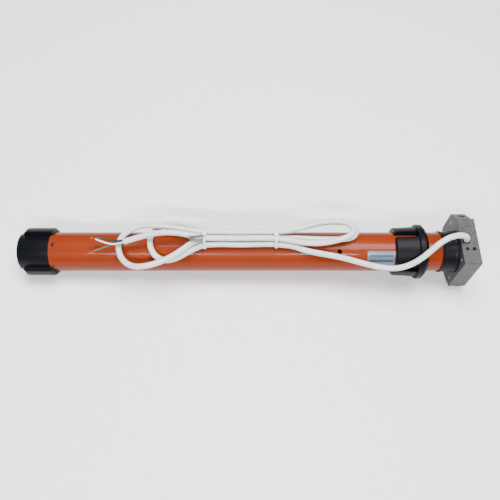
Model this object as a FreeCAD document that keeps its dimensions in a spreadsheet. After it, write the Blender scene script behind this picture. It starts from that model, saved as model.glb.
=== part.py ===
import FreeCAD, Part

import math
import os
import re

import Sketcher

# Tubular awning motor, lying along X. Millimetres, +Z up, +Y away from the crank.
# The origin is on the motor's axis, on the head's outer mounting face, and the tube runs to -X.

SIZES = {
    # Head
    "head_depth": 20,
    "head_front": 29.5,
    "head_back": 43.5,
    "head_top": 27.8,
    "head_bottom": 42,
    "head_facet": 15.2,
    "head_corner_back": 20,
    "head_corner_front": 20.5,
    "head_corner_drop": 8,
    "head_corner_width": 18.5,
    "head_edge": 1.6,
    "flange_thickness": 4,
    "flange_drop": 8,
    "flange_step": 6,
    "head_wall": 4,
    "cavity_radius": 21,
    "cover_thickness": 3,
    "cover_rim": 3.2,
    "cover_screw_front": 21,
    "cover_screw_high": 20,
    "cover_screw_low": 28,
    "cover_screw_back": 30,
    "cover_screw_back_low": 20,
    "cover_screw_far": 35,
    "cover_screw_far_high": 6,
    "mount_circle_radius": 24,
    "mount_hole_radius": 2.55,
    "mount_hole_depth": 13,
    "screw_shank_radius": 1.5,
    "screw_head_radius": 2.8,
    "screw_head_height": 1.6,
    "screw_length": 9,
    "tube_screw_head_radius": 2.1,
    "seat_gap": 0.1,
    "running_gap": 0.06,
    "axial_gap": 0.3,
    # Cable outlet
    "cable_radius": 3.25,
    "outlet_x": 14,
    "outlet_length": 7.6,
    "outlet_width": 8,
    "grommet_depth": 3,
    "grommet_rise": 0.4,
    # Limit adjusters
    "adjuster_y": 10.7,
    "adjuster_near_x": 6.6,
    "adjuster_far_x": 14.2,
    "adjuster_radius": 2.2,
    "adjuster_length": 12,
    "adjuster_recess": 1.2,
    "adjuster_socket": 1.3,
    "adjuster_socket_depth": 4,
    "adjuster_tower_wall": 2,
    "adjuster_tower_foot": 11.5,
    "limit_shaft_radius": 1.1,
    "limit_shaft_spread": 3.3,
    "limit_shaft_drop": 9,
    # Collar
    "collar_length": 19,
    "collar_tube_step": 1.5,
    "collar_head_step": 2.1,
    "collar_rim": 1.2,
    "collar_bore": 15,
    "collar_spigot": 13,
    "collar_web": 5,
    # Tube
    "tube_radius": 22.5,
    "tube_wall": 1,
    "tube_length": 447,
    "tube_hole_radius": 2.5,
    "tube_hole_offset": 117,
    "view_turn": 27,
    # Rating label
    "label_length": 31.4,
    "label_width": 17,
    "label_thickness": 0.12,
    "label_offset": 54,
    "label_turn": 20.5,
    # Limit crown
    "crown_offset": 16.5,
    "crown_length": 37,
    "crown_ring_length": 11,
    "crown_bore_gap": 0.25,
    "crown_ring_height": 9.1,
    "crown_finger_root_height": 6.6,
    "crown_finger_tip_height": 5.2,
    "crown_fingers": 4,
    "crown_finger_angle": 73,
    "crown_bevel": 3.6,
    "crown_counterbore_gap": 1.5,
    "crown_counterbore_depth": 2.5,
    "crown_clip_height": 1.1,
    "crown_clip_length": 1.6,
    "crown_teeth": 60,
    "crown_gear_length": 6,
    # Limit unit
    "crown_tooth_depth": 1.25,
    "pinion_teeth": 12,
    "pinion_width": 5.2,
    "pinion_axle_radius": 1.5,
    "limit_frame_offset": 15,
    "limit_frame_length": 84,
    "switch_length": 20,
    "switch_width": 6.4,
    "switch_height": 10,
    "switch_lift": 8,
    "switch_offset": 45,
    # Manual override
    "crank_offset": 11,
    "crank_x": 11,
    "crank_hole_radius": 3.9,
    "crank_hole_depth": 4.4,
    "crank_tower_wall": 3.2,
    "worm_head_radius": 4.8,
    "worm_head_length": 12,
    "worm_socket": 3,
    "worm_socket_depth": 10,
    "worm_root_radius": 2.8,
    "worm_tip_radius": 4.4,
    "worm_thread_length": 11,
    "worm_journal_radius": 2.4,
    "worm_journal_length": 5,
    "override_module": 0.8,
    "override_teeth": 18,
    "override_width": 5,
    "override_shaft_radius": 5,
    "override_shaft_bore": 2.5,
    "override_journal_radius": 4,
    "override_journal_length": 4,
    # Inner cartridge
    "can_gap": 0.3,
    "can_wall": 0.6,
    "can_offset": 12,
    "can_limit_gap": 37,
    "plug_length": 14,
    "plug_flange": 5,
    "cap_length": 12,
    "cap_spigot": 6,
    "tube_screw_inset": 5.6,
    "tube_screw_turn": 20,
    "bush_radius": 9,
    "output_radius": 6,
    # Planet gearing
    "ring_rim": 1.6475,
    "sun_teeth": 10,
    "planet_teeth": 14,
    "gear_backlash": 0.12,
    "planet_pin_radius": 2,
    "carrier_rim": 1.6,
    "stage_one_width": 9,
    "stage_two_width": 11.7,
    "stage_three_width": 15.7,
    "carrier_one_thickness": 3.5,
    "carrier_two_thickness": 4,
    "carrier_three_thickness": 5,
    # Motor
    "shield_thickness": 6.7,
    "vent_radius": 2.4,
    "vent_count": 6,
    "rotor_bush_radius": 6,
    "rotor_shaft_radius": 3,
    "stator_depth": 9.6,
    "air_gap": 0.4,
    "stator_clearance": 11,
    "winding_length": 9,
    "winding_clearance": 1,
    "winding_gap": 1.2,
    "slot_count": 12,
    "slot_radius": 2.2,
    "slot_inset": 5,
    "slot_liner": 0.2,
    # Brake
    "brake_plate_thickness": 2.5,
    "brake_disc_thickness": 3,
    "brake_disc_gap": 5.6,
    "brake_armature_thickness": 3.4,
    "brake_armature_gap": 4.6,
    "brake_travel": 0.3,
    "brake_spring_radius": 8,
    "brake_spring_wire": 0.6,
    "brake_spring_length": 9,
    "brake_spring_turns": 4,
    "brake_magnet_length": 14,
    "brake_magnet_gap": 1.6,
    # Capacitor
    "cradle_wall": 5.5,
    "capacitor_length": 60,
    "capacitor_offset": 12,
    "capacitor_room": 25.9,
    "cradle_length": 46,
    # Drive wheel
    "wheel_length": 36.7,
    "wheel_tube_gap": 0.9,
    "wheel_nose": 3,
    "wheel_recess": 14,
    "wheel_wall": 4.1,
    "wheel_hub_radius": 10,
    "wheel_face_recess": 3,
    "wheel_face_recess_radius": 9.5,
    "lug_height": 5.2,
    "lug_angle": 70,
    "lug_overlap": 3,
    "lug_bore_gap": 0.5,
    "lug_setback": 6.8,
    "lug_chamfer": 2.2,
    "shaft_flat": 4.6,
    "clip_radius": 7.6,
    "clip_thickness": 1.1,
    "clip_groove_radius": 5.1,
    # Cores and ties
    "core_radius": 0.9,
    "core_wire_radius": 0.6,
    "core_bare_length": 6.5,
    "tie_right_x": 228,
    "tie_left_x": 308,
    "tie_width": 2.6,
    "tie_thickness": 1,
    "tie_gap": 0.35,
    "tie_lock": 4.4,
}

# Places along the axis and derived radii, from the sizes and from each other.
STATIONS = {
    "tube_right": "-head_depth - collar_length",
    "tube_left": "tube_right - tube_length",
    "tube_bore": "tube_radius - tube_wall",
    "collar_tube_radius": "tube_radius + collar_tube_step",
    "collar_head_radius": "tube_radius + collar_head_step",
    "wheel_radius": "tube_radius - wheel_tube_gap",
    "wheel_recess_radius": "wheel_radius - wheel_wall",
    "cover_left": "-head_depth",
    "cavity_left": "cover_left + cover_thickness",
    "cavity_right": "-head_wall",
    "crown_right": "tube_right - crown_offset",
    "crown_left": "crown_right - crown_length",
    "crown_step": "crown_right - crown_ring_length",
    "crown_bore": "tube_radius + crown_bore_gap",
    "crown_ring_radius": "tube_radius + crown_ring_height",
    "crown_finger_root_radius": "tube_radius + crown_finger_root_height",
    "crown_finger_tip_radius": "tube_radius + crown_finger_tip_height",
    "crown_counterbore": "tube_radius + crown_counterbore_gap",
    "crown_clip_radius": "tube_radius + crown_clip_height",
    "limit_module": "2 * (crown_bore + crown_tooth_depth) / crown_teeth",
    "crown_gear_right": "crown_right - crown_counterbore_depth - 1",
    "crown_gear_left": "crown_gear_right - crown_gear_length",
    "pinion_offset": "limit_module * (crown_teeth - pinion_teeth) / 2",
    "pinion_left": "crown_gear_left + (crown_gear_length - pinion_width) / 2",
    "limit_right": "tube_right - limit_frame_offset",
    "limit_left": "limit_right - limit_frame_length",
    "label_right": "tube_right - label_offset",
    "hole_x": "tube_right - tube_hole_offset",
    "crank_reach": "(head_top + head_back - head_facet) / sqrt(2)",
    "worm_right": "crank_reach - crank_hole_depth - axial_gap",
    "worm_left": "worm_right - worm_head_length",
    "override_left": "-crank_x - override_width / 2",
    "override_right": "override_left + override_width",
    "can_radius": "tube_bore - can_gap",
    "can_bore": "can_radius - can_wall",
    "ring_teeth": "sun_teeth + 2 * planet_teeth",
    "gear_module": "(can_bore - ring_rim) / (ring_teeth / 2 + 0.95)",
    "planet_centre": "gear_module * (sun_teeth + planet_teeth) / 2",
    "gear_tip": "0.75 * gear_module",
    "gear_root": "0.95 * gear_module",
    "cap_right": "tube_left + cap_length",
    "spigot_right": "cap_right + cap_spigot",
    "can_left": "tube_left + can_offset",
    "can_right": "limit_left - can_limit_gap",
    "carrier_radius": "planet_centre + planet_pin_radius + carrier_rim",
    "disc_three_left": "spigot_right + 0.5",
    "disc_three_right": "disc_three_left + carrier_three_thickness",
    "planets_three_left": "disc_three_right + axial_gap",
    "disc_two_left": "planets_three_left + stage_three_width + axial_gap",
    "disc_two_right": "disc_two_left + carrier_two_thickness",
    "planets_two_left": "disc_two_right + axial_gap",
    "disc_one_left": "planets_two_left + stage_two_width + axial_gap",
    "disc_one_right": "disc_one_left + carrier_one_thickness",
    "planets_one_left": "disc_one_right + axial_gap",
    "planets_one_right": "planets_one_left + stage_one_width",
    "shield_front_left": "planets_one_right + 4",
    "shield_front_right": "shield_front_left + shield_thickness",
    "stator_left": "shield_front_right + stator_clearance",
    "capacitor_right": "can_right - plug_length - capacitor_room",
    "capacitor_left": "capacitor_right - capacitor_length",
    "cradle_left": "(capacitor_left + capacitor_right - cradle_length) / 2",
    "magnet_right": "capacitor_left - capacitor_offset",
    "magnet_left": "magnet_right - brake_magnet_length",
    "armature_right": "magnet_left - brake_travel - 0.4",
    "armature_left": "armature_right - brake_armature_thickness",
    "spring_left": "armature_right + brake_travel + 0.05",
    "spring_right": "spring_left + brake_spring_length",
    "brake_disc_right": "armature_left - seat_gap",
    "brake_disc_left": "brake_disc_right - brake_disc_thickness",
    "plate_right": "brake_disc_left - seat_gap",
    "shield_rear_right": "plate_right - brake_plate_thickness",
    "shield_rear_left": "shield_rear_right - shield_thickness",
    "stator_right": "shield_rear_left - stator_clearance",
    "stator_length": "stator_right - stator_left",
    "rotor_radius": "can_bore - stator_depth - air_gap",
    "slot_circle": "can_bore - slot_inset",
    "winding_inner_radius": "rotor_radius + air_gap + winding_clearance",
    "winding_outer_radius": "can_bore - winding_gap",
    "vent_circle": "(rotor_bush_radius + can_bore) / 2",
    "brake_disc_radius": "can_bore - brake_disc_gap",
    "brake_armature_radius": "can_bore - brake_armature_gap",
    "brake_magnet_radius": "can_bore - brake_magnet_gap",
    "capacitor_radius": "can_bore - 0.1 - cradle_wall",
    "wheel_right": "tube_left - axial_gap",
    "wheel_left": "wheel_right - wheel_length",
    "lug_left": "wheel_left + lug_setback",
    "lug_right": "tube_left + lug_overlap",
    "lug_radius": "tube_radius + lug_height",
    "shaft_left": "wheel_left + 0.4",
}

# The cable's route, chosen by hand: out of the head's top, over the crown and down to the tube,
CABLE_LEAD = [
    (-14.0, 0.0, 28.2), (-14.0, 0.0, 33.0), (-18.5, 0.3, 38.0), (-27.0, -0.7, 41.0), (-38.0, -3.6, 40.6),
    (-48.0, -9.2, 37.8), (-57.5, -16.4, 34.4), (-66.5, -22.8, 29.8), (-76.5, -27.6, 24.6),
    (-87.5, -30.0, 19.4), (-99.5, -29.6, 15.8), (-112.5, -26.8, 14.2), (-127.0, -23.6, 15.4),
    (-142.0, -20.2, 17.9), (-158.0, -17.0, 20.6), (-176.0, -14.4, 22.4), (-194.0, -11.4, 24.2),
    (-210.0, -6.4, 26.8), (-222.0, -5.4, 27.2),
]
# then through the ties five times, with two loops at the left and two at the right.
CABLE_HANK = [
    (-222.0, -5.4, 27.2), (-234.0, -4.4, 27.6), (-250.0, -4.8, 27.5), (-268.0, -5.2, 27.4),
    (-290.0, -4.7, 27.6), (-309.0, -5.4, 27.7), (-322.0, -11.4, 27.0), (-333.0, -18.2, 26.2),
    (-343.5, -23.4, 25.6), (-353.5, -24.0, 25.4), (-362.0, -19.6, 25.7), (-367.9, -11.8, 26.3),
    (-370.4, -2.2, 26.9), (-369.6, 7.4, 26.7), (-365.0, 15.4, 26.0), (-357.0, 20.8, 25.4),
    (-346.5, 23.0, 25.2), (-334.5, 21.6, 25.6), (-322.5, 16.8, 26.6), (-310.0, 11.8, 27.6),
    (-296.0, 10.4, 27.5), (-280.0, 10.9, 27.0), (-262.0, 10.4, 26.9), (-244.0, 11.0, 27.4),
    (-228.0, 10.7, 27.7), (-213.0, 12.4, 27.4), (-198.0, 16.8, 26.8), (-180.0, 22.4, 26.5),
    (-165.0, 24.6, 26.5), (-152.0, 24.4, 26.4), (-140.8, 22.2, 26.3), (-135.2, 13.0, 26.5),
    (-140.6, 3.8, 26.8), (-152.0, 1.6, 27.1), (-165.0, 1.2, 27.3), (-179.0, 1.4, 27.5),
    (-195.0, 2.0, 27.8), (-211.0, 2.6, 27.9), (-228.0, 3.1, 27.7), (-246.0, 3.3, 27.7),
    (-268.0, 2.7, 27.8), (-290.0, 3.1, 27.8), (-306.0, 2.8, 27.7), (-314.5, 0.2, 28.3),
    (-322.5, -6.0, 32.8), (-331.0, -14.2, 33.8), (-341.5, -21.8, 33.2), (-351.0, -26.8, 32.2),
    (-361.0, -30.6, 31.0),
    (-372.0, -33.8, 31.0), (-383.5, -33.8, 28.8), (-393.5, -29.2, 27.4), (-400.6, -21.4, 26.9),
    (-404.4, -11.8, 26.9), (-405.0, -2.2, 27.3), (-402.0, 5.0, 27.5), (-395.0, 12.2, 28.0),
    (-385.0, 16.6, 29.6), (-373.5, 17.2, 32.2), (-361.0, 15.4, 33.8), (-345.0, 13.0, 34.4),
    (-327.0, 9.2, 34.6), (-308.0, 7.0, 34.6), (-290.0, 7.3, 34.5), (-268.0, 6.8, 34.4),
    (-246.0, 7.4, 34.4), (-228.0, 7.0, 34.6), (-214.0, 8.4, 34.6), (-199.0, 12.6, 34.4),
    (-183.0, 18.2, 34.3), (-169.0, 20.8, 34.3), (-157.0, 21.0, 34.4), (-145.6, 18.8, 34.5),
    (-140.0, 9.6, 34.8), (-146.0, 1.0, 35.2), (-158.0, -2.4, 33.4), (-172.0, -5.0, 31.6),
    (-189.0, -5.6, 30.9), (-206.0, -4.3, 33.0), (-217.0, -2.2, 34.4), (-228.0, -0.9, 34.6),
    (-246.0, -0.5, 34.7),
    (-268.0, -1.1, 34.6), (-290.0, -0.7, 34.7), (-304.0, -0.9, 34.6), (-314.0, 0.5, 36.4),
    (-325.0, 1.1, 38.1), (-338.0, 2.8, 40.2), (-352.0, 3.0, 41.2), (-367.0, 1.4, 40.2),
    (-382.0, -2.2, 38.0), (-397.0, -5.8, 35.6),
]

# The stripped cores, each from the cable's end to where its own insulation ends.
CORES = {
    "core_black": [(-397.9, -4.6, 36.9), (-404.6, -5.4, 36.2), (-412.0, -4.2, 36.0), (-421.0, -2.4, 36.4),
                   (-429.0, -2.0, 36.8)],
    "core_white": [(-397.2, -7.2, 36.9), (-404.0, -9.0, 35.8), (-412.0, -9.0, 35.8), (-420.5, -6.8, 36.8),
                   (-428.0, -4.2, 38.4)],
    "core_green": [(-396.8, -7.1, 34.2), (-404.0, -7.8, 33.2), (-412.0, -8.2, 32.4), (-421.0, -11.6, 31.8),
                   (-430.0, -15.2, 31.4)],
    "core_blue": [(-397.5, -4.5, 34.2), (-403.5, -4.6, 33.4), (-408.5, -5.2, 32.6)],
}

doc = FreeCAD.newDocument("awning_motor")
sizes = doc.addObject("Spreadsheet::Sheet", "Sizes")
for row, (alias, number) in enumerate(SIZES.items(), 1):
    sizes.set(f"A{row}", alias)
    sizes.set(f"B{row}", str(number))
    sizes.setAlias(f"B{row}", alias)


def bound(expression):
    """The expression with the sheet's name before each size and station."""

    def with_sheet(word):
        name = word.group()
        return f"Sizes.{name}" if name in SIZES else f"Stations.{name}" if name in STATIONS else name

    return re.sub(r"[a-z][a-z_]+", with_sheet, str(expression))


stations = doc.addObject("Spreadsheet::Sheet", "Stations")
for row, alias in enumerate(STATIONS, 1):
    stations.set(f"A{row}", alias)
    stations.setAlias(f"B{row}", alias)
for row, formula in enumerate(STATIONS.values(), 1):
    stations.set(f"B{row}", "=" + bound(formula))
doc.recompute()

NODES = []


def value(expression):
    """What an expression of sizes and stations comes to, in millimetres."""
    return float(stations.evalExpression(bound(expression)))


def node(obj, label):
    obj.Label = label
    NODES.append(obj)
    return obj


# Sketches and bodies


def sketch_on(body, plane, offset="0"):
    """A sketch on one of the body's own origin planes, moved along the plane's normal."""
    sketch = body.newObject("Sketcher::SketchObject", "sketch")
    support = next(f for f in body.Origin.OriginFeatures if f.Role == plane)
    sketch.AttachmentSupport = [(support, "")]
    sketch.MapMode = "FlatFace"
    if offset != "0":
        sketch.setExpression("AttachmentOffset.Base.z", bound(offset))
    return sketch


def place_point(sketch, item, end, across, up):
    """Binds one point of a sketch to its two coordinates."""
    for kind, axis, expression in (("DistanceX", -2, across), ("DistanceY", -1, up)):
        place = value(expression)
        if abs(place) < 1e-9:
            sketch.addConstraint(Sketcher.Constraint("PointOnObject", item, end, axis))
        else:
            index = sketch.addConstraint(Sketcher.Constraint(kind, -1, 1, item, end, place))
            sketch.setExpression(f"Constraints[{index}]", bound(expression))


def polygon(sketch, points):
    """A closed outline of straight lines through points given as expressions."""
    first = sketch.GeometryCount
    corners = [FreeCAD.Vector(value(across), value(up), 0) for across, up in points]
    lines = [Part.LineSegment(corner, corners[(i + 1) % len(corners)]) for i, corner in enumerate(corners)]
    sketch.addGeometry(lines)
    for i, (across, up) in enumerate(points):
        following = first + (i + 1) % len(points)
        sketch.addConstraint(Sketcher.Constraint("Coincident", first + i, 2, following, 1))
        place_point(sketch, first + i, 1, across, up)


def circle(sketch, across, up, radius):
    item = sketch.addGeometry(
        Part.Circle(FreeCAD.Vector(value(across), value(up), 0), FreeCAD.Vector(0, 0, 1), value(radius))
    )
    place_point(sketch, item, 3, across, up)
    index = sketch.addConstraint(Sketcher.Constraint("Radius", item, value(radius)))
    sketch.setExpression(f"Constraints[{index}]", bound(radius))


def new_body(name):
    body = doc.addObject("PartDesign::Body", name)
    body.Label = name
    return body


def revolve(body, points, angle=None):
    """Turns an outline of (place along the axis, radius) about the motor's axis."""
    sketch = sketch_on(body, "XZ_Plane")
    polygon(sketch, points)
    turn = body.newObject("PartDesign::Revolution", "turned")
    turn.Profile = sketch
    turn.ReferenceAxis = (sketch, ["H_Axis"])
    turn.Angle = 360
    if angle:
        turn.Midplane = True
        turn.setExpression("Angle", bound(angle))
    return turn


def turned(name, points):
    body = new_body(name)
    revolve(body, points)
    return body


def ring(name, left, right, outer, inner="0"):
    """A plain ring or disc about the axis."""
    return turned(name, [(left, inner), (left, outer), (right, outer), (right, inner)])


def pad(body, left, length, points=None, circles=()):
    """A prism along X, from a sketch across the axis."""
    sketch = sketch_on(body, "YZ_Plane", left)
    if points:
        polygon(sketch, points)
    for across, up, radius in circles:
        circle(sketch, across, up, radius)
    feature = body.newObject("PartDesign::Pad", "pad")
    feature.Profile = sketch
    feature.setExpression("Length", bound(length))
    return feature


def pocket(body, left, length, points=None, circles=()):
    """A cut along X that starts at left and goes towards +X."""
    sketch = sketch_on(body, "YZ_Plane", left)
    if points:
        polygon(sketch, points)
    for across, up, radius in circles:
        circle(sketch, across, up, radius)
    feature = body.newObject("PartDesign::Pocket", "pocket")
    feature.Profile = sketch
    feature.Reversed = True
    feature.setExpression("Length", bound(length))
    return feature


def around_axis(body, feature, count):
    """Repeats a feature about the motor's axis."""
    pattern = body.newObject("PartDesign::PolarPattern", "around")
    pattern.Originals = [feature]
    axis = next(f for f in body.Origin.OriginFeatures if f.Role == "X_Axis")
    pattern.Axis = (axis, [""])
    pattern.Angle = 360
    pattern.setExpression("Occurrences", bound(count))
    body.Tip = pattern
    return pattern


# Primitives and booleans


def rod(name, radius, left, length, y="0", z="0"):
    """A cylinder along X."""
    solid = doc.addObject("Part::Cylinder", name)
    solid.Placement = FreeCAD.Placement(FreeCAD.Vector(), FreeCAD.Rotation(FreeCAD.Vector(0, 1, 0), 90))
    for cell, expression in (
        ("Radius", radius),
        ("Height", length),
        ("Placement.Base.x", left),
        ("Placement.Base.y", y),
        ("Placement.Base.z", z),
    ):
        solid.setExpression(cell, bound(expression))
    return solid


def slanted_rod(name, radius, start, length):
    """A cylinder on the crank's line, which passes the axis at 45 degrees and crank_offset below."""
    solid = doc.addObject("Part::Cylinder", name)
    solid.Placement = FreeCAD.Placement(FreeCAD.Vector(), FreeCAD.Rotation(FreeCAD.Vector(1, 0, 0), -45))
    for cell, expression in (
        ("Radius", radius),
        ("Height", length),
        ("Placement.Base.x", "-crank_x"),
        ("Placement.Base.y", f"(crank_offset + ({start})) / sqrt(2)"),
        ("Placement.Base.z", f"(-crank_offset + ({start})) / sqrt(2)"),
    ):
        solid.setExpression(cell, bound(expression))
    return solid


def upright_rod(name, radius, x, y, low, length):
    solid = doc.addObject("Part::Cylinder", name)
    for cell, expression in (
        ("Radius", radius),
        ("Height", length),
        ("Placement.Base.x", x),
        ("Placement.Base.y", y),
        ("Placement.Base.z", low),
    ):
        solid.setExpression(cell, bound(expression))
    return solid


def rod_towards_view(name, radius, x, turn, low, length):
    """A cylinder that stands on the axis and leans by view_turn and a further turn about it."""
    solid = doc.addObject("Part::Cylinder", name)
    solid.Placement = FreeCAD.Placement(
        FreeCAD.Vector(), FreeCAD.Rotation(FreeCAD.Vector(1, 0, 0), value(f"view_turn - ({turn})"))
    )
    lean = f"(view_turn - ({turn}))"
    for cell, expression in (
        ("Radius", radius),
        ("Height", length),
        ("Placement.Base.x", x),
        ("Placement.Base.y", f"-({low}) * sin({lean})"),
        ("Placement.Base.z", f"({low}) * cos({lean})"),
    ):
        solid.setExpression(cell, bound(expression))
    return solid


def block(name, low, lengths):
    """A box from its lowest corner."""
    solid = doc.addObject("Part::Box", name)
    for cell, expression in zip(("Length", "Width", "Height"), lengths):
        solid.setExpression(cell, bound(expression))
    for axis, expression in zip("xyz", low):
        solid.setExpression(f"Placement.Base.{axis}", bound(expression))
    return solid


def socket(name, across, height):
    """A six-sided prism, for a hexagon key."""
    solid = doc.addObject("Part::Prism", name)
    solid.Polygon = 6
    solid.setExpression("Circumradius", bound(across))
    solid.setExpression("Height", bound(height))
    return solid


def joined(name, solids):
    fusion = doc.addObject("Part::MultiFuse", name)
    fusion.Shapes = solids
    return fusion


def cut(name, base, tools):
    """The base without the tools."""
    difference = doc.addObject("Part::Cut", name)
    difference.Base = base
    difference.Tool = tools[0] if len(tools) == 1 else joined(name + "_cuts", tools)
    return difference


def feature(name, shape, place=None):
    """A shape worked out in code from the sheet's sizes."""
    solid = doc.addObject("Part::Feature", name)
    solid.Shape = shape
    if place:
        solid.Placement = place
    return solid


# Gears


def involute(angle):
    return math.tan(angle) - angle


def gear_outline(teeth, module, tip, root, thinning):
    """Points of a gear about its centre, with a tooth on the first axis and 25 degree flanks."""
    pitch = module * teeth / 2
    base = pitch * math.cos(math.radians(25))
    widest = math.pi / (2 * teeth) - thinning / (2 * pitch) + involute(math.radians(25))

    def half_angle(radius):
        return widest - involute(math.acos(base / radius)) if radius > base else widest

    low, high = pitch - root, pitch + tip
    start = max(low, base)
    radii = [low] * (low < base) + [start + (high - start) * step / 3 for step in range(4)]
    points = []
    for tooth in range(teeth):
        middle = 2 * math.pi * tooth / teeth
        flank = [(radius, middle - half_angle(radius)) for radius in radii]
        flank += [(radius, middle + half_angle(radius)) for radius in reversed(radii)]
        points += [(radius * math.cos(turn), radius * math.sin(turn)) for radius, turn in flank]
    return points


def gear_solid(teeth, module, tip, root, thinning, width):
    """A spur gear along +X from the origin, with its first tooth towards +Y."""
    outline = gear_outline(teeth, module, tip, root, thinning)
    corners = [FreeCAD.Vector(0, across, up) for across, up in outline]
    face = Part.Face(Part.makePolygon(corners + corners[:1]))
    return face.extrude(FreeCAD.Vector(width, 0, 0))


def at(x, y=0.0, z=0.0, turn=0.0):
    """A place on X, Y and Z, turned about X by a number of degrees."""
    return FreeCAD.Placement(FreeCAD.Vector(x, y, z), FreeCAD.Rotation(FreeCAD.Vector(1, 0, 0), turn))


# Head

OUTLINE = [
    ("-head_front", "head_top"),
    ("head_back - head_facet", "head_top"),
    ("head_back", "head_top - head_facet"),
    ("head_back", "-head_corner_back"),
    ("head_back - head_corner_width", "-head_bottom"),
    ("-head_front + head_corner_front", "-head_bottom"),
    ("-head_front", "-head_bottom + head_corner_drop"),
]


def inset_outline(inset):
    """The head's outline drawn in all round, with its slanted sides kept parallel."""
    sides = {"-head_front": f"-head_front + {inset}", "head_back": f"head_back - {inset}"}
    slack = f"0.42 * {inset}"
    return [
        (sides["-head_front"], f"head_top - {inset}"),
        (f"head_back - head_facet - {slack}", f"head_top - {inset}"),
        (sides["head_back"], f"head_top - head_facet - {slack}"),
        (sides["head_back"], f"-head_corner_back + {slack}"),
        (f"head_back - head_corner_width - {slack}", f"-head_bottom + {inset}"),
        (f"-head_front + head_corner_front + {slack}", f"-head_bottom + {inset}"),
        (sides["-head_front"], f"-head_bottom + head_corner_drop + {slack}"),
    ]


SCREW_PLACES = [
    ("-cover_screw_front", "cover_screw_high"),
    ("-cover_screw_front", "-cover_screw_low"),
    ("cover_screw_back", "-cover_screw_back_low"),
    ("cover_screw_far", "cover_screw_far_high"),
]


def make_head_housing():
    body = new_body("head_casting")
    plate = pad(body, "cover_left", "head_depth", OUTLINE)
    doc.recompute()
    outer = [
        f"Edge{i}"
        for i, edge in enumerate(body.Shape.Edges, 1)
        if abs(edge.BoundBox.XMin) < 1e-6 or edge.BoundBox.XLength > 1
    ]
    fillet = body.newObject("PartDesign::Fillet", "rounded_edges")
    fillet.Base = (plate, outer)
    fillet.setExpression("Radius", bound("head_edge"))
    body.Tip = fillet
    step = [
        ("head_back - head_facet", "head_top + 1"),
        ("head_back - head_facet", "head_top - flange_drop"),
        ("head_back + 1", "head_top - head_facet - flange_step"),
        ("head_back + 1", "head_top + 1"),
    ]
    pocket(body, "-flange_thickness", "flange_thickness + 1", step)
    pocket(body, "cover_left", "cover_thickness", inset_outline("cover_rim"))
    pocket(body, "cavity_left", "cavity_right - cavity_left", circles=[("0", "0", "cavity_radius")])
    holes = [(y, z, "screw_shank_radius + seat_gap") for y, z in SCREW_PLACES]
    pocket(body, "cavity_left", "screw_length", circles=holes)
    boss = rod("bearing_boss", "override_journal_radius + 3", "cavity_right - 2.4", "2.4 + head_wall / 2")
    walls = [
        slanted_rod("crank_tower", "worm_head_radius + crank_tower_wall", "8", "crank_reach - 10"),
        boss,
        slanted_rod("worm_foot", "worm_journal_radius + 3", "-21.5", "8.8"),
        upright_rod("adjuster_tower_near", "adjuster_radius + adjuster_tower_wall", "-adjuster_near_x",
                    "-adjuster_y", "adjuster_tower_foot", "head_top - adjuster_tower_foot - 1"),
        upright_rod("adjuster_tower_far", "adjuster_radius + adjuster_tower_wall", "-adjuster_far_x",
                    "-adjuster_y", "adjuster_tower_foot", "head_top - adjuster_tower_foot - 1"),
    ]
    inside = block("inside_head", ("cavity_left", "-head_front + 2", "-head_bottom + 2"),
                   ("-cavity_left - 1.5", "head_front + head_back - 4", "head_bottom + head_top - 4"))
    kept = doc.addObject("Part::Common", "inner_walls")
    kept.Base = inside
    kept.Tool = joined("wall_shapes", walls)
    solid = joined("casting_with_walls", [body, kept])
    spread = "mount_circle_radius / sqrt(2)"
    places = [(f"{a}{spread}", f"{b}{spread}") for a in ("", "-") for b in ("", "-")]
    tools = [
        rod(f"bolt_hole_{i}", "mount_hole_radius", "-mount_hole_depth", "mount_hole_depth + 1", y, z)
        for i, (y, z) in enumerate(places, 1)
    ] + [
        slanted_rod("crank_hole", "crank_hole_radius", "crank_reach - crank_hole_depth - 1",
                    "crank_hole_depth + 4"),
        slanted_rod("worm_bore", "worm_head_radius + running_gap", "worm_left - axial_gap",
                    "worm_head_length + 2 * axial_gap"),
        slanted_rod("worm_way", "worm_tip_radius + 0.4", "-worm_thread_length / 2 - 1",
                    "worm_left + worm_thread_length / 2 + 1"),
        slanted_rod("worm_foot_bore", "worm_journal_radius + running_gap",
                    "-worm_thread_length / 2 - worm_journal_length - axial_gap", "worm_journal_length + 1"),
        rod("bearing_bore", "override_journal_radius + running_gap",
            "override_right", "override_journal_length + axial_gap"),
        rod("wheel_way", "override_module * (override_teeth + 2) / 2 + 0.5",
            "override_left - 1", "override_width + 1.5"),
        upright_rod("near_bore", "adjuster_radius + running_gap", "-adjuster_near_x", "-adjuster_y",
                    "0", "head_top + 1"),
        upright_rod("far_bore", "adjuster_radius + running_gap", "-adjuster_far_x", "-adjuster_y",
                    "0", "head_top + 1"),
        block("cable_slot",
              ("-outlet_x - outlet_length / 2", "-outlet_width / 2", "head_top - grommet_depth"),
              ("outlet_length", "outlet_width", "grommet_depth + 4")),
        upright_rod("cable_way", "cable_radius", "-outlet_x", "0", "cavity_radius - 6",
                    "head_top - cavity_radius + 4"),
    ]
    return node(cut("head_housing", solid, tools), "head_housing")


def make_head_cover():
    body = new_body("head_cover")
    pad(body, "cover_left", "cover_thickness", inset_outline("(cover_rim + seat_gap)"))
    pocket(body, "cover_left", "cover_thickness", circles=[("0", "0", "collar_bore + 4 + seat_gap")])
    holes = [(y, z, "screw_shank_radius + seat_gap") for y, z in SCREW_PLACES]
    pocket(body, "cover_left", "cover_thickness", circles=holes)
    sinks = [(y, z, "screw_head_radius + seat_gap") for y, z in SCREW_PLACES]
    pocket(body, "cover_left", "screw_head_height", circles=sinks)
    return node(body, "head_cover")


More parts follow.
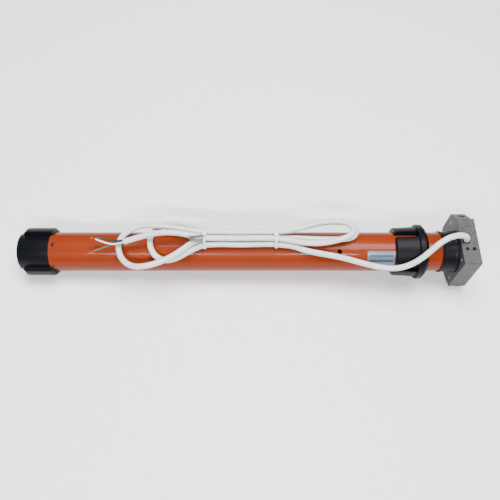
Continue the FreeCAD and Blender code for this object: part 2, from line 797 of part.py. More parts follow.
def make_head_screws():
    solids = []
    for number, (y, z) in enumerate(SCREW_PLACES):
        shank = rod(f"shank_{number}", "screw_shank_radius", "cover_left + screw_head_height - 0.5",
                    "screw_length", y, z)
        head = rod(f"head_{number}", "screw_head_radius", "cover_left", "screw_head_height", y, z)
        drive = socket(f"drive_{number}", "screw_shank_radius", "1")
        drive.Placement = FreeCAD.Placement(FreeCAD.Vector(), FreeCAD.Rotation(FreeCAD.Vector(0, 1, 0), 90))
        drive.setExpression("Placement.Base.x", bound("cover_left - 0.2"))
        drive.setExpression("Placement.Base.y", bound(y))
        drive.setExpression("Placement.Base.z", bound(z))
        solids.append(cut(f"screw_{number}", joined(f"screw_blank_{number}", [shank, head]), [drive]))
    compound = doc.addObject("Part::Compound", "head_screws")
    compound.Links = solids
    return node(compound, "head_screws")


def make_grommet():
    outer = block("grommet_block",
                  ("-outlet_x - outlet_length / 2 + seat_gap", "-outlet_width / 2 + seat_gap",
                   "head_top - grommet_depth"),
                  ("outlet_length - 2 * seat_gap", "outlet_width - 2 * seat_gap",
                   "grommet_depth + grommet_rise"))
    rounded = doc.addObject("Part::Fillet", "cable_grommet")
    rounded.Base = outer
    doc.recompute()
    upright = [i for i, edge in enumerate(outer.Shape.Edges, 1) if edge.BoundBox.ZLength > 1]
    rounded.Edges = [(i, 1.5, 1.5) for i in upright]
    return node(rounded, "cable_grommet")


def make_adjusters():
    for name, x in (("limit_adjuster_near", "-adjuster_near_x"), ("limit_adjuster_far", "-adjuster_far_x")):
        low = "head_top - adjuster_recess - adjuster_length"
        post = upright_rod(name + "_post", "adjuster_radius", x, "-adjuster_y", low, "adjuster_length")
        key = socket(name + "_socket", "adjuster_socket", "adjuster_socket_depth + 1")
        key.setExpression("Placement.Base.x", bound(x))
        key.setExpression("Placement.Base.y", bound("-adjuster_y"))
        key.setExpression("Placement.Base.z", bound("head_top - adjuster_recess - adjuster_socket_depth"))
        node(cut(name, post, [key]), name)


def make_limit_shafts():
    """Two flexible shafts, from under the adjusters to the limit unit."""
    shafts = []
    for side, x in ((-1, "-adjuster_near_x"), (1, "-adjuster_far_x")):
        spread = side * value("limit_shaft_spread")
        top = value("head_top - adjuster_recess - adjuster_length - axial_gap")
        front, drop = -value("adjuster_y"), value("limit_shaft_drop")
        points = [
            (value(x), front, top),
            (value(x), front, top - 6),
            (value("cover_left - 2"), front + spread / 2, top - drop + spread / 2),
            (value("tube_right"), front + spread / 2, top - drop + spread),
            (value("limit_right + axial_gap"), front + spread / 2, top - drop + spread),
        ]
        shafts.append(tube_along(points, value("limit_shaft_radius")))
    return node(feature("limit_shafts", Part.makeCompound(shafts)), "limit_shafts")


# Collar


def make_collar():
    body = turned("head_collar", [
        ("tube_right - collar_spigot", "collar_bore + 3.5"),
        ("tube_right - collar_spigot", "tube_bore - seat_gap"),
        ("tube_right", "tube_bore - seat_gap"),
        ("tube_right", "collar_tube_radius"),
        ("tube_right + 2", "collar_tube_radius"),
        ("tube_right + 2.6", "collar_tube_radius - 0.6"),
        ("cover_left - 3", "collar_head_radius - 0.4"),
        ("cover_left - 2.4", "collar_head_radius"),
        ("cover_left", "collar_head_radius"),
        ("cover_left", "collar_bore + 4"),
        ("cavity_left", "collar_bore + 4"),
        ("cavity_left", "collar_bore"),
        ("tube_right + collar_web", "collar_bore"),
        ("tube_right + collar_web", "override_shaft_radius + running_gap"),
        ("tube_right", "override_shaft_radius + running_gap"),
        ("tube_right", "collar_bore + 3.5"),
    ])
    wires = [("0", "10", "2.8"), ("0", "-10", "2.8")]
    pocket(body, "tube_right", "collar_web", circles=wires)
    slot = [("-collar_bore", "-4"), ("-collar_bore", "14"), ("-7.2", "14"), ("-7.2", "-4")]
    pocket(body, "tube_right", "collar_web", slot)
    return node(body, "head_collar")


# Tube


def make_tube():
    pipe = ring("tube_pipe", "tube_left", "tube_right", "tube_radius", "tube_bore")
    window = block("pinion_window", ("crown_gear_left - 0.4", "-pinion_width - 1.4", "-tube_radius - 1"),
                   ("crown_gear_length + 0.8", "2 * pinion_width + 2.8", "tube_wall + 4"))
    sight = rod_towards_view("tube_hole", "tube_hole_radius", "hole_x", "0", "tube_bore - 2", "5")
    holes = [
        rod_towards_view(f"screw_hole_{quarter}", "screw_shank_radius + seat_gap",
                         "tube_left + tube_screw_inset", f"tube_screw_turn + {90 * quarter}",
                         "tube_bore - 2", "5")
        for quarter in range(4)
    ]
    return node(cut("motor_tube", pipe, [window, sight] + holes), "motor_tube")


def make_tube_screws():
    screws = []
    for quarter in range(4):
        turn = f"tube_screw_turn + {90 * quarter}"
        shank = rod_towards_view(f"tube_screw_shank_{quarter}", "screw_shank_radius",
                                 "tube_left + tube_screw_inset", turn, "tube_radius - 7", "7.2")
        head = rod_towards_view(f"tube_screw_head_{quarter}", "tube_screw_head_radius",
                                "tube_left + tube_screw_inset", turn, "tube_radius + 0.2", "1")
        screws.append(joined(f"tube_screw_{quarter}", [shank, head]))
    compound = doc.addObject("Part::Compound", "tube_screws")
    compound.Links = screws
    return node(compound, "tube_screws")


def make_label():
    """A thin bowed plate on the tube, facing the front."""
    body = new_body("rating_label")
    low, high = "tube_radius + 0.03", "tube_radius + 0.03 + label_thickness"
    revolve(
        body,
        [("label_right - label_length", low), ("label_right - label_length", high),
         ("label_right", high), ("label_right", low)],
        "2 * asin(label_width / tube_radius / 2)",
    )
    body.Placement = at(0, turn=value("view_turn + label_turn"))
    return node(body, "rating_label")


# Limit crown and limit unit


def make_crown():
    body = new_body("crown_blank")
    revolve(body, [
        ("crown_step - 1", "crown_bore"),
        ("crown_step", "crown_ring_radius - 0.6"),
        ("crown_step + 0.6", "crown_ring_radius"),
        ("crown_right - 5", "crown_ring_radius"),
        ("crown_right - 5 + crown_bevel", "crown_ring_radius - crown_bevel"),
        ("crown_right", "crown_counterbore + 0.9"),
        ("crown_right", "crown_counterbore"),
        ("crown_right - crown_counterbore_depth", "crown_counterbore"),
        ("crown_right - crown_counterbore_depth", "crown_bore"),
    ])
    finger = revolve(body, [
        ("crown_left", "crown_bore"),
        ("crown_left", "crown_finger_tip_radius - 1.2"),
        ("crown_left + 1.2", "crown_finger_tip_radius"),
        ("crown_step + 1", "crown_finger_root_radius"),
        ("crown_step + 1", "crown_bore"),
    ], "crown_finger_angle")
    around_axis(body, finger, "crown_fingers")
    body.Placement = at(0, turn=value("view_turn"))
    doc.recompute()
    module = value("limit_module")
    shape = gear_solid(round(value("crown_teeth")), module, 0.95 * module, 0.75 * module,
                       -0.16, value("crown_gear_length"))
    teeth = feature("crown_tooth_spaces", shape, at(value("crown_gear_left"), turn=-90))
    return node(cut("limit_crown", body, [teeth]), "limit_crown")


def make_crown_clip():
    clip = ring("crown_clip_ring", "crown_right - 0.5 - crown_clip_length", "crown_right - 0.5",
                "crown_clip_radius", "tube_radius + 0.02")
    gap = block("crown_clip_gap", ("crown_right - 3", "-1.5", "0"), ("3", "3", "crown_clip_radius + 2"))
    return node(cut("crown_clip", clip, [gap]), "crown_clip")


def make_limit_unit():
    """The closed limit gearcase, with bays for the switches and for the pinion."""
    frame = ring("limit_frame_block", "limit_left", "limit_right", "tube_bore - seat_gap",
                 "override_shaft_radius + 0.4")
    bay_gap = "2 * seat_gap"
    bays = [
        block(f"switch_bay_{side}",
              ("limit_right - switch_offset - switch_length - seat_gap",
               f"{side} * (switch_width / 2 + 0.6) - switch_width / 2 - seat_gap", "switch_lift"),
              (f"switch_length + {bay_gap}", f"switch_width + {bay_gap}", "tube_radius"))
        for side in (-1, 1)
    ]
    pinion_bay = rod("pinion_bay", "limit_module * (pinion_teeth + 2) / 2 + 0.4",
                     "pinion_left - axial_gap", "pinion_width + 2 * axial_gap", z="-pinion_offset")
    axle_hole = rod("pinion_axle_hole", "pinion_axle_radius + running_gap", "pinion_left - 8 - axial_gap",
                    "limit_right - pinion_left + 10", z="-pinion_offset")
    node(cut("limit_frame", frame, bays + [pinion_bay, axle_hole]), "limit_frame")

    switches = []
    for side in (-1, 1):
        low_y = f"{side} * (switch_width / 2 + 0.6) - switch_width / 2"
        case = block(f"switch_case_{side}", ("limit_right - switch_offset - switch_length", low_y,
                                             "switch_lift + seat_gap"),
                     ("switch_length", "switch_width", "switch_height"))
        lever = block(f"switch_lever_{side}",
                      ("limit_right - switch_offset - switch_length + 3", f"{low_y} + switch_width / 4",
                       "switch_lift + switch_height - 0.2"),
                      ("switch_length - 5", "switch_width / 2", "1.2"))
        switches.append(joined(f"switch_{side}", [case, lever]))
    compound = doc.addObject("Part::Compound", "microswitches")
    compound.Links = switches
    node(compound, "microswitches")

    module = value("limit_module")
    shape = gear_solid(round(value("pinion_teeth")), module, 0.75 * module, 0.95 * module,
                       0.16, value("pinion_width"))
    teeth = feature("pinion_toothing", shape, at(value("pinion_left"), z=-value("pinion_offset"), turn=-90))
    axle = rod("pinion_axle", "pinion_axle_radius", "pinion_left - 8", "limit_right - pinion_left + 7",
               z="-pinion_offset")
    node(joined("limit_pinion", [teeth, axle]), "limit_pinion")


# Manual override


def make_override():
    shaft = turned("override_shaft", [
        ("can_right - plug_length + axial_gap", "override_shaft_bore"),
        ("can_right - plug_length + axial_gap", "override_shaft_radius"),
        ("override_right", "override_shaft_radius"),
        ("override_right", "override_journal_radius"),
        ("override_right + override_journal_length", "override_journal_radius"),
        ("override_right + override_journal_length", "override_shaft_bore"),
    ])
    node(shaft, "override_shaft")
    module = value("override_module")
    blank = gear_solid(round(value("override_teeth")), module, 0.7 * module, 1.1 * module,
                       0.5, value("override_width"))
    toothing = feature("override_toothing", blank, at(value("override_left"), turn=-45))
    bore = rod("override_wheel_bore", "override_shaft_radius + 0.02", "override_left - 1",
               "override_width + 2")
    node(cut("override_wheel", toothing, [bore]), "override_wheel")

    half = "worm_thread_length / 2"
    core = slanted_rod("worm_core", "worm_root_radius", f"-{half}", f"{half} + worm_left + 0.1")
    journal = slanted_rod("worm_journal", "worm_journal_radius", f"-{half} - worm_journal_length",
                          "worm_journal_length + 0.1")
    head = slanted_rod("worm_head", "worm_head_radius", "worm_left", "worm_head_length")
    thread = worm_thread()
    key = socket("crank_socket", "worm_socket", "worm_socket_depth + 1")
    key.Placement = FreeCAD.Placement(FreeCAD.Vector(), FreeCAD.Rotation(FreeCAD.Vector(1, 0, 0), -45))
    mouth = "(worm_right - worm_socket_depth)"
    key.setExpression("Placement.Base.x", bound("-crank_x"))
    key.setExpression("Placement.Base.y", bound(f"(crank_offset + {mouth}) / sqrt(2)"))
    key.setExpression("Placement.Base.z", bound(f"(-crank_offset + {mouth}) / sqrt(2)"))
    blank = joined("worm_blank", [core, journal, head, thread])
    node(cut("override_worm", blank, [key]), "override_worm")


def worm_place():
    """The crank's line as a place: its own Z runs out along the line, from nearest the axis."""
    reach = value("crank_offset / sqrt(2)")
    tilt = FreeCAD.Rotation(FreeCAD.Vector(1, 0, 0), -45)
    return FreeCAD.Placement(FreeCAD.Vector(-value("crank_x"), reach, -reach), tilt)


def worm_thread():
    """One thread of a worm, swept along a helix, with the wheel's tooth between two of its turns."""
    pitch = math.pi * value("override_module")
    root, tip = value("worm_root_radius"), value("worm_tip_radius")
    turns = math.floor(value("worm_thread_length") / pitch - 0.6)
    height = turns * pitch
    helix = Part.makeHelix(pitch, height, root)
    foot, crest = 0.34 * pitch, 0.16 * pitch
    ridge = Part.makePolygon([
        FreeCAD.Vector(root - 0.15, 0, -foot / 2),
        FreeCAD.Vector(tip, 0, -crest / 2),
        FreeCAD.Vector(tip, 0, crest / 2),
        FreeCAD.Vector(root - 0.15, 0, foot / 2),
        FreeCAD.Vector(root - 0.15, 0, -foot / 2),
    ])
    thread = Part.Wire(helix.Edges).makePipeShell([ridge], True, True)
    phase = FreeCAD.Rotation(FreeCAD.Vector(0, 0, 1), -180 * turns - 270)
    return feature("worm_thread", thread,
                   worm_place().multiply(FreeCAD.Placement(FreeCAD.Vector(0, 0, -height / 2), phase)))


# Gearbox


def planet_angles():
    """Degrees at which three planets mesh with the sun and the ring, as evenly as the teeth allow."""
    total = round(value("sun_teeth + ring_teeth"))
    return [360 * round(total * k / 3) / total for k in range(3)]


def planet_turn(angle):
    """How far a planet at an angle turns about its pin, in degrees, so that it meshes."""
    planet = value("planet_teeth")
    return angle + 360 / planet * (0.5 - value("ring_teeth") * angle / 360)


def sun_gear(name, left, width):
    """A sun gear, turned so that a tooth meets the first planet's space."""
    module = value("gear_module")
    shape = gear_solid(round(value("sun_teeth")), module, value("gear_tip"), value("gear_root"),
                       value("gear_backlash"), width)
    turn = 180 * value("planet_teeth") / value("sun_teeth")
    return feature(name, shape, at(left, turn=turn))


def planet_pins(stage, left, length):
    pins = []
    for number, angle in enumerate(planet_angles()):
        y, z = f"planet_centre * cos({angle})", f"planet_centre * sin({angle})"
        pins.append(rod(f"pin_{stage}_{number}", "planet_pin_radius", left, length, y, z))
    return pins


STAGES = {
    "one": ("planets_one_left", "stage_one_width"),
    "two": ("planets_two_left", "stage_two_width"),
    "three": ("planets_three_left", "stage_three_width"),
}


def make_planets():
    module = value("gear_module")
    for stage, (left, width) in STAGES.items():
        for number, angle in enumerate(planet_angles()):
            shape = gear_solid(round(value("planet_teeth")), module, value("gear_tip"), value("gear_root"),
                               value("gear_backlash"), value(width))
            y = value("planet_centre") * math.cos(math.radians(angle))
            z = value("planet_centre") * math.sin(math.radians(angle))
            name = f"planet_{stage}_{'abc'[number]}"
            teeth = feature(name + "_toothing", shape, at(value(left), y, z, planet_turn(angle)))
            bore = rod(name + "_bore", "planet_pin_radius + running_gap", f"{left} - 1", f"{width} + 2",
                       f"planet_centre * cos({angle})", f"planet_centre * sin({angle})")
            node(cut(name, teeth, [bore]), name)


def make_carrier(number, stage, sun_stage):
    """A disc with three pins on its right and the sun of the next stage on its left."""
    left, thickness = f"disc_{stage}_left", f"carrier_{stage}_thickness"
    disc = rod(f"carrier_{number}_disc", "carrier_radius", left, thickness)
    pins = planet_pins(stage, f"disc_{stage}_right - 0.1", f"{STAGES[stage][1]} + 0.1")
    sun_left, sun_width = STAGES[sun_stage]
    sun = sun_gear(f"carrier_{number}_sun", value(sun_left), value(f"{left} - {sun_left} + 0.1"))
    return node(joined(f"carrier_{number}", [disc, sun] + pins), f"carrier_{number}")


def make_ring_gear():
    module = value("gear_module")
    blank = ring("ring_gear_blank", "spigot_right + 0.2", "shield_front_left - 0.3", "can_bore - 0.05",
                 "carrier_radius")
    shape = gear_solid(round(value("ring_teeth")), module, value("gear_root"), value("gear_tip"),
                       -value("gear_backlash"), value("shield_front_left - spigot_right + 2"))
    teeth = feature("ring_tooth_spaces", shape,
                    at(value("spigot_right") - 1, turn=180 / value("ring_teeth")))
    return node(cut("ring_gear", blank, [teeth]), "ring_gear")


def make_output():
    shaft = turned("output_turned", [
        ("shaft_left", "0"),
        ("shaft_left", "output_radius - 0.5"),
        ("shaft_left + 0.5", "output_radius"),
        ("shaft_left + 1.2", "output_radius"),
        ("shaft_left + 1.2", "clip_groove_radius"),
        ("shaft_left + 2.5", "clip_groove_radius"),
        ("shaft_left + 2.5", "output_radius"),
        ("disc_three_left - 0.3", "output_radius"),
        ("disc_three_left - 0.3", "output_radius + 3"),
        ("disc_three_left", "output_radius + 3"),
        ("disc_three_left", "carrier_radius"),
        ("disc_three_right", "carrier_radius"),
        ("disc_three_right", "0"),
    ])
    flats = [
        block(f"shaft_flat_{side}", ("wheel_left - 2", "-output_radius - 1", low),
              ("wheel_length + 2", "2 * output_radius + 2", "output_radius"))
        for side, low in (("top", "shaft_flat"), ("bottom", "-shaft_flat - output_radius"))
    ]
    shaft = cut("output_flatted", shaft, flats)
    pins = planet_pins("three", "disc_three_right - 0.1", "stage_three_width + 0.1")
    node(joined("output_shaft", [shaft] + pins), "output_shaft")


def make_end_cap():
    blank = turned("gearbox_end_cap_blank", [
        ("tube_left", "bush_radius"),
        ("tube_left", "tube_bore - seat_gap"),
        ("can_left - axial_gap", "tube_bore - seat_gap"),
        ("can_left - axial_gap", "can_bore - running_gap"),
        ("spigot_right", "can_bore - running_gap"),
        ("spigot_right", "bush_radius"),
    ])
    holes = [
        rod_towards_view(f"cap_screw_hole_{quarter}", "screw_shank_radius + seat_gap",
                         "tube_left + tube_screw_inset", f"tube_screw_turn + {90 * quarter}",
                         "tube_radius - 7.3", "12")
        for quarter in range(4)
    ]
    node(cut("gearbox_end_cap", blank, holes), "gearbox_end_cap")
    node(ring("output_bush", "tube_left + 0.5", "spigot_right", "bush_radius - 0.02",
              "output_radius + running_gap"), "output_bush")


# Inner cartridge


def make_cartridge():
    node(ring("motor_can", "can_left", "can_right", "can_radius", "can_bore"), "motor_can")
    fit = "can_bore - 0.05"
    for name, left in (("front_shield", "shield_front_left"), ("rear_shield", "shield_rear_left")):
        body = ring(name, left, f"{left} + shield_thickness", fit, "rotor_bush_radius + 0.02")
        vent = pocket(body, left, "shield_thickness", circles=[("vent_circle", "0", "vent_radius")])
        around_axis(body, vent, "vent_count")
        node(body, name)
    bushes = [
        ring(f"bush_{left}", f"{left} + 0.2", f"{left} + shield_thickness - 0.2", "rotor_bush_radius",
             "rotor_shaft_radius + running_gap")
        for left in ("shield_front_left", "shield_rear_left")
    ]
    compound = doc.addObject("Part::Compound", "rotor_bushes")
    compound.Links = bushes
    node(compound, "rotor_bushes")

    core = ring("stator_core", "stator_left", "stator_right", fit, "rotor_radius + air_gap")
    slot = pocket(core, "stator_left", "stator_length", circles=[("slot_circle", "0", "slot_radius")])
    around_axis(core, slot, "slot_count")
    node(core, "stator_core")

    windings = new_body("stator_windings")
    bar = pad(windings, "stator_left - 1", "stator_length + 2",
              circles=[("slot_circle", "0", "slot_radius - slot_liner")])
    around_axis(windings, bar, "slot_count")
    for left in ("stator_left - 0.5 - winding_length", "stator_right + 0.5"):
        revolve(windings, [
            (left, "winding_inner_radius + 1.5"),
            (f"{left} + 1.5", "winding_inner_radius"),
            (f"{left} + winding_length - 1.5", "winding_inner_radius"),
            (f"{left} + winding_length", "winding_inner_radius + 1.5"),
            (f"{left} + winding_length", "winding_outer_radius - 1.5"),
            (f"{left} + winding_length - 1.5", "winding_outer_radius"),
            (f"{left} + 1.5", "winding_outer_radius"),
            (left, "winding_outer_radius - 1.5"),
        ])
    node(windings, "stator_windings")

    node(ring("capacitor", "capacitor_left", "capacitor_right", "capacitor_radius"), "capacitor")
    cradle = ring("capacitor_cradle", "cradle_left", "cradle_left + cradle_length", "can_bore - 0.1",
                  "capacitor_radius + seat_gap")
    window = pocket(cradle, "cradle_left + 8", "cradle_length - 16", circles=[("can_bore", "0", "5")])
    around_axis(cradle, window, "4")
    node(cradle, "capacitor_cradle")
    node(turned("cartridge_plug", [
        ("can_right - plug_length", "0"),
        ("can_right - plug_length", "can_bore - 0.05"),
        ("can_right", "can_bore - 0.05"),
        ("can_right", "tube_bore - running_gap"),
        ("can_right + plug_flange", "tube_bore - running_gap"),
        ("can_right + plug_flange", "override_shaft_radius + 0.02"),
        ("can_right - plug_length + axial_gap", "override_shaft_radius + 0.02"),
        ("can_right - plug_length + axial_gap", "0"),
    ]), "cartridge_plug")


def make_rotor():
    node(ring("rotor_core", "stator_left", "stator_right", "rotor_radius", "rotor_shaft_radius + 0.02"),
         "rotor_core")
    shaft = rod("rotor_rod", "rotor_shaft_radius", "planets_one_right + 0.5",
                "armature_right - planets_one_right - 0.5")
    sun = sun_gear("rotor_sun", value("planets_one_left"), value("stage_one_width + 0.6"))
    node(joined("rotor_shaft", [shaft, sun]), "rotor_shaft")


# Brake


def make_brake():
    node(ring("brake_plate", "shield_rear_right", "plate_right", "brake_disc_radius",
              "rotor_bush_radius + 2"), "brake_plate")
    node(ring("brake_disc", "brake_disc_left", "brake_disc_right", "brake_disc_radius",
              "rotor_shaft_radius + 0.02"), "brake_disc")
    armature = ring("brake_armature", "armature_left", "armature_right", "brake_armature_radius",
                    "rotor_shaft_radius + 1")
    ears = pad(armature, "armature_left", "brake_armature_thickness",
               [("brake_armature_radius - 1", "-3"), ("brake_armature_radius - 1", "3"),
                ("can_bore - 0.4", "3"), ("can_bore - 0.4", "-3")])
    around_axis(armature, ears, "3")
    node(armature, "brake_armature")
    node(turned("brake_magnet", [
        ("magnet_left", "brake_spring_radius + 2"),
        ("magnet_left", "brake_magnet_radius"),
        ("magnet_right - 2", "brake_magnet_radius"),
        ("magnet_right - 2", "can_bore - 0.05"),
        ("magnet_right", "can_bore - 0.05"),
        ("magnet_right", "0"),
        ("spring_right + 0.1", "0"),
        ("spring_right + 0.1", "brake_spring_radius + 2"),
    ]), "brake_magnet")
    wire = value("brake_spring_wire")
    length = value("brake_spring_length") - 2 * wire
    helix = Part.makeHelix(length / value("brake_spring_turns"), length, value("brake_spring_radius"))
    start = FreeCAD.Vector(value("brake_spring_radius"), 0, 0)
    turn = helix.Edges[0]
    section = Part.Wire([Part.makeCircle(wire, start, turn.tangentAt(turn.FirstParameter))])
    coil = Part.Wire(helix.Edges).makePipeShell([section], True, True)
    place = FreeCAD.Placement(FreeCAD.Vector(value("spring_left") + wire, 0, 0),
                              FreeCAD.Rotation(FreeCAD.Vector(0, 1, 0), 90))
    node(feature("brake_spring", coil, place), "brake_spring")


# Drive wheel


def make_wheel():
    body = new_body("wheel_blank")
    revolve(body, [
        ("wheel_left", "wheel_face_recess_radius"),
        ("wheel_left", "wheel_radius - wheel_nose"),
        ("wheel_left + wheel_nose * 0.29", "wheel_radius - wheel_nose * 0.29"),
        ("wheel_left + wheel_nose", "wheel_radius"),
        ("wheel_right", "wheel_radius"),
        ("wheel_right", "wheel_recess_radius"),
        ("wheel_right - wheel_recess", "wheel_recess_radius"),
        ("wheel_right - wheel_recess", "wheel_hub_radius"),
        ("wheel_right", "wheel_hub_radius"),
        ("wheel_right", "output_radius + 0.05"),
        ("wheel_left + wheel_face_recess", "output_radius + 0.05"),
        ("wheel_left + wheel_face_recess", "wheel_face_recess_radius"),
    ])
    lug = revolve(body, [
        ("lug_left", "wheel_radius - 1"),
        ("lug_left", "lug_radius - lug_chamfer"),
        ("lug_left + lug_chamfer", "lug_radius"),
        ("lug_right - lug_chamfer", "lug_radius"),
        ("lug_right", "lug_radius - lug_chamfer"),
        ("lug_right", "tube_radius + lug_bore_gap"),
        ("wheel_right", "tube_radius + lug_bore_gap"),
        ("wheel_right", "wheel_radius - 1"),
    ], "lug_angle")
    around_axis(body, lug, "2")
    body.Placement = at(0, turn=value("view_turn") + 90)
    fill = [
        block(f"bore_key_{side}", ("wheel_left + wheel_face_recess", "-output_radius - 0.3", low),
              ("wheel_length - wheel_face_recess", "2 * output_radius + 0.6", "output_radius"))
        for side, low in (("top", "shaft_flat + 0.05"), ("bottom", "-shaft_flat - 0.05 - output_radius"))
    ]
    core = rod("bore_core", "output_radius + 0.5", "wheel_left + wheel_face_recess",
               "wheel_length - wheel_face_recess")
    keys = doc.addObject("Part::Common", "bore_keys")
    keys.Base = joined("bore_key_blocks", fill)
    keys.Tool = core
    node(joined("drive_wheel", [body, keys]), "drive_wheel")
    clip = ring("wheel_clip_ring", "shaft_left + 1.25", "shaft_left + 1.25 + clip_thickness", "clip_radius",
                "clip_groove_radius + 0.02")
    gap = block("wheel_clip_gap", ("wheel_left - 1", "-3", "0"), ("6", "6", "clip_radius + 1"))
    node(cut("wheel_clip", clip, [gap]), "wheel_clip")


# Cable


def rounded_path(points):
    """Straight runs joined by tangent arcs, each as large as its two runs allow, and the arcs' radii."""
    places = [FreeCAD.Vector(*point) for point in points]
    edges, radii, start = [], [], places[0]
    for before, corner, after in zip(places, places[1:], places[2:]):
        came, goes = (corner - before), (after - corner)
        reach = 0.45 * min(came.Length, goes.Length)
        came.normalize()
        goes.normalize()
        turn = came.getAngle(goes)
        radii.append(reach / math.tan(turn / 2))
        leave, join = corner - came * reach, corner + goes * reach
        inward = goes - came
        inward.normalize()
        middle = corner + inward * (radii[-1] / math.cos(turn / 2) - radii[-1])
        edges.append(Part.LineSegment(start, leave).toShape())
        edges.append(Part.Arc(leave, middle, join).toShape())
        start = join
    edges.append(Part.LineSegment(start, places[-1]).toShape())
    return Part.Wire(edges), radii


def tube_along(points, radius):
    """A round solid along a rounded path."""
    path, _ = rounded_path(points)
    first = FreeCAD.Vector(*points[0])
    along = FreeCAD.Vector(*points[1]) - first
    section = Part.Wire([Part.makeCircle(radius, first, along)])
    return path.makePipeShell([section], True, False)


def least_gap(wire, diameter):
    """The smallest clear space between stretches of a tube that are over four diameters apart along it."""
    points = wire.discretize(Distance=2.0)
    apart = int(4 * diameter / 2.0)
    return min(
        (p - q).Length - diameter for i, p in enumerate(points) for q in points[i + apart:]
    )


def make_cable():
    radius = value("cable_radius")
    for name, points in (("cable_lead", CABLE_LEAD), ("cable_hank", CABLE_HANK)):
        solid = tube_along(points, radius)
        path, radii = rounded_path(points)
        share = solid.Volume / (math.pi * radius**2 * path.Length)
        gap = least_gap(path, 2 * radius)
        print(f"{name}: length {path.Length:.0f}, volume share {share:.4f}, least gap {gap:.2f}")
        print(f"{name} radii:", " ".join(f"{r:.0f}" for r in radii))
        node(feature(name, solid), name)


def make_cores():
    radius, wire = value("core_radius"), value("core_wire_radius")
    tips = []
    for name, points in CORES.items():
        node(feature(name, tube_along(points, radius)), name)
        end = FreeCAD.Vector(*points[-1])
        along = end - FreeCAD.Vector(*points[-2])
        along.normalize()
        if name != "core_blue":
            tips.append(Part.makeCylinder(wire, value("core_bare_length"), end, along))
    node(feature("core_tips", Part.makeCompound(tips)), "core_tips")


def hull(points):
    """The corners of the tightest band round some (across, up) points, anticlockwise."""
    ordered = sorted(set(points))

    def half(sequence):
        corners = []
        for point in sequence:
            while len(corners) > 1:
                (ay, az), (by, bz) = corners[-2], corners[-1]
                if (by - ay) * (point[1] - az) - (bz - az) * (point[0] - ay) > 0:
                    break
                corners.pop()
            corners.append(point)
        return corners[:-1]

    return half(ordered) + half(reversed(ordered))


def make_ties():
    """Two flat bands round the strands, each with its square lock on top."""
    gap, thickness = value("cable_radius + tie_gap"), value("tie_thickness")
    path, _ = rounded_path(CABLE_HANK)
    places = path.discretize(Distance=0.5)
    bands = []
    for x in (-value("tie_right_x"), -value("tie_left_x")):
        left = x - value("tie_width") / 2
        near = [(p.y, p.z) for p in places if abs(p.x - x) < value("tie_width") / 2]
        corners = [FreeCAD.Vector(left, y, z) for y, z in hull(near)]
        core = Part.Face(Part.makePolygon(corners + corners[:1]))
        width = FreeCAD.Vector(value("tie_width"), 0, 0)
        inner = core.makeOffset2D(gap).extrude(width)
        outer = core.makeOffset2D(gap + thickness).extrude(width)
        lock_size = value("tie_lock")
        corner = FreeCAD.Vector(x - lock_size / 2, -lock_size / 2, outer.BoundBox.ZMax - 0.6)
        lock = Part.makeBox(lock_size, lock_size, lock_size * 0.7, corner)
        bands.append(outer.fuse(lock).cut(inner))
    node(feature("cable_ties", Part.makeCompound(bands)), "cable_ties")


make_head_housing()
make_head_cover()
make_head_screws()
make_grommet()
make_adjusters()
make_limit_shafts()
make_collar()
make_tube()
make_tube_screws()
make_label()
make_crown()
make_crown_clip()
make_limit_unit()
make_override()
make_planets()
make_carrier("1", "one", "two")
make_carrier("2", "two", "three")
make_ring_gear()
make_output()
make_end_cap()
make_cartridge()
make_rotor()
make_brake()
make_wheel()
make_cable()
make_cores()
make_ties()
doc.recompute()

# Every object and shape is checked before anything is written.
for obj in doc.Objects:
    if {"Invalid", "Error"} & set(obj.State):
        raise RuntimeError(f"{obj.Name} ({obj.Label}) failed: {obj.State}")
for obj in NODES:
    if obj.Shape.isNull() or not obj.Shape.isValid() or not obj.Shape.Solids:
        raise RuntimeError(f"{obj.Label} has no valid solid")

os.makedirs("parts", exist_ok=True)
for obj in NODES:
    obj.Shape.exportStep(f"parts/{obj.Label}.step")
print(f"{len(NODES)} sub-parts written")
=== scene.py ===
"""A 45 mm tubular awning motor with its cable folded on it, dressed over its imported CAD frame."""

import math

import bmesh
import bpy
import numpy as np
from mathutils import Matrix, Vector


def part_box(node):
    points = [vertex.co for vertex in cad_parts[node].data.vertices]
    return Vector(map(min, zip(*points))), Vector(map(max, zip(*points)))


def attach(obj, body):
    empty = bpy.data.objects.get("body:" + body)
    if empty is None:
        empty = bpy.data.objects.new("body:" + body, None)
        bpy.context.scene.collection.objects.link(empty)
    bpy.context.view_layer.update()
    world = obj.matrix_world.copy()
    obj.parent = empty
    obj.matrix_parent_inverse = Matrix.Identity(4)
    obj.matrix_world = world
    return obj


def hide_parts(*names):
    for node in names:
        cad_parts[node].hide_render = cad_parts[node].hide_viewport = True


bl_info = {
    "name": "Awning motor",
    "version": (1, 0, 0),
    "blender": (4, 2, 0),
    "location": "View3D > Sidebar > Motor",
    "description": "Dresses a tubular awning motor: its cable, cores, ties, screws, finishes and studio",
    "category": "Object",
}

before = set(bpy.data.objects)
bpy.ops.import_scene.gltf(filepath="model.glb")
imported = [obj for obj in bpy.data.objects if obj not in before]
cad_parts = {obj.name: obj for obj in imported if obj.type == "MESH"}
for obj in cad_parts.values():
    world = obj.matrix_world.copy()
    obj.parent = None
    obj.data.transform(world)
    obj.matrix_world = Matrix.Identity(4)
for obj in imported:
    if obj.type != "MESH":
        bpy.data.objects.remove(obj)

# Places, in metres in the row frame: X along the motor's axis, +Y to the back, +Z up.

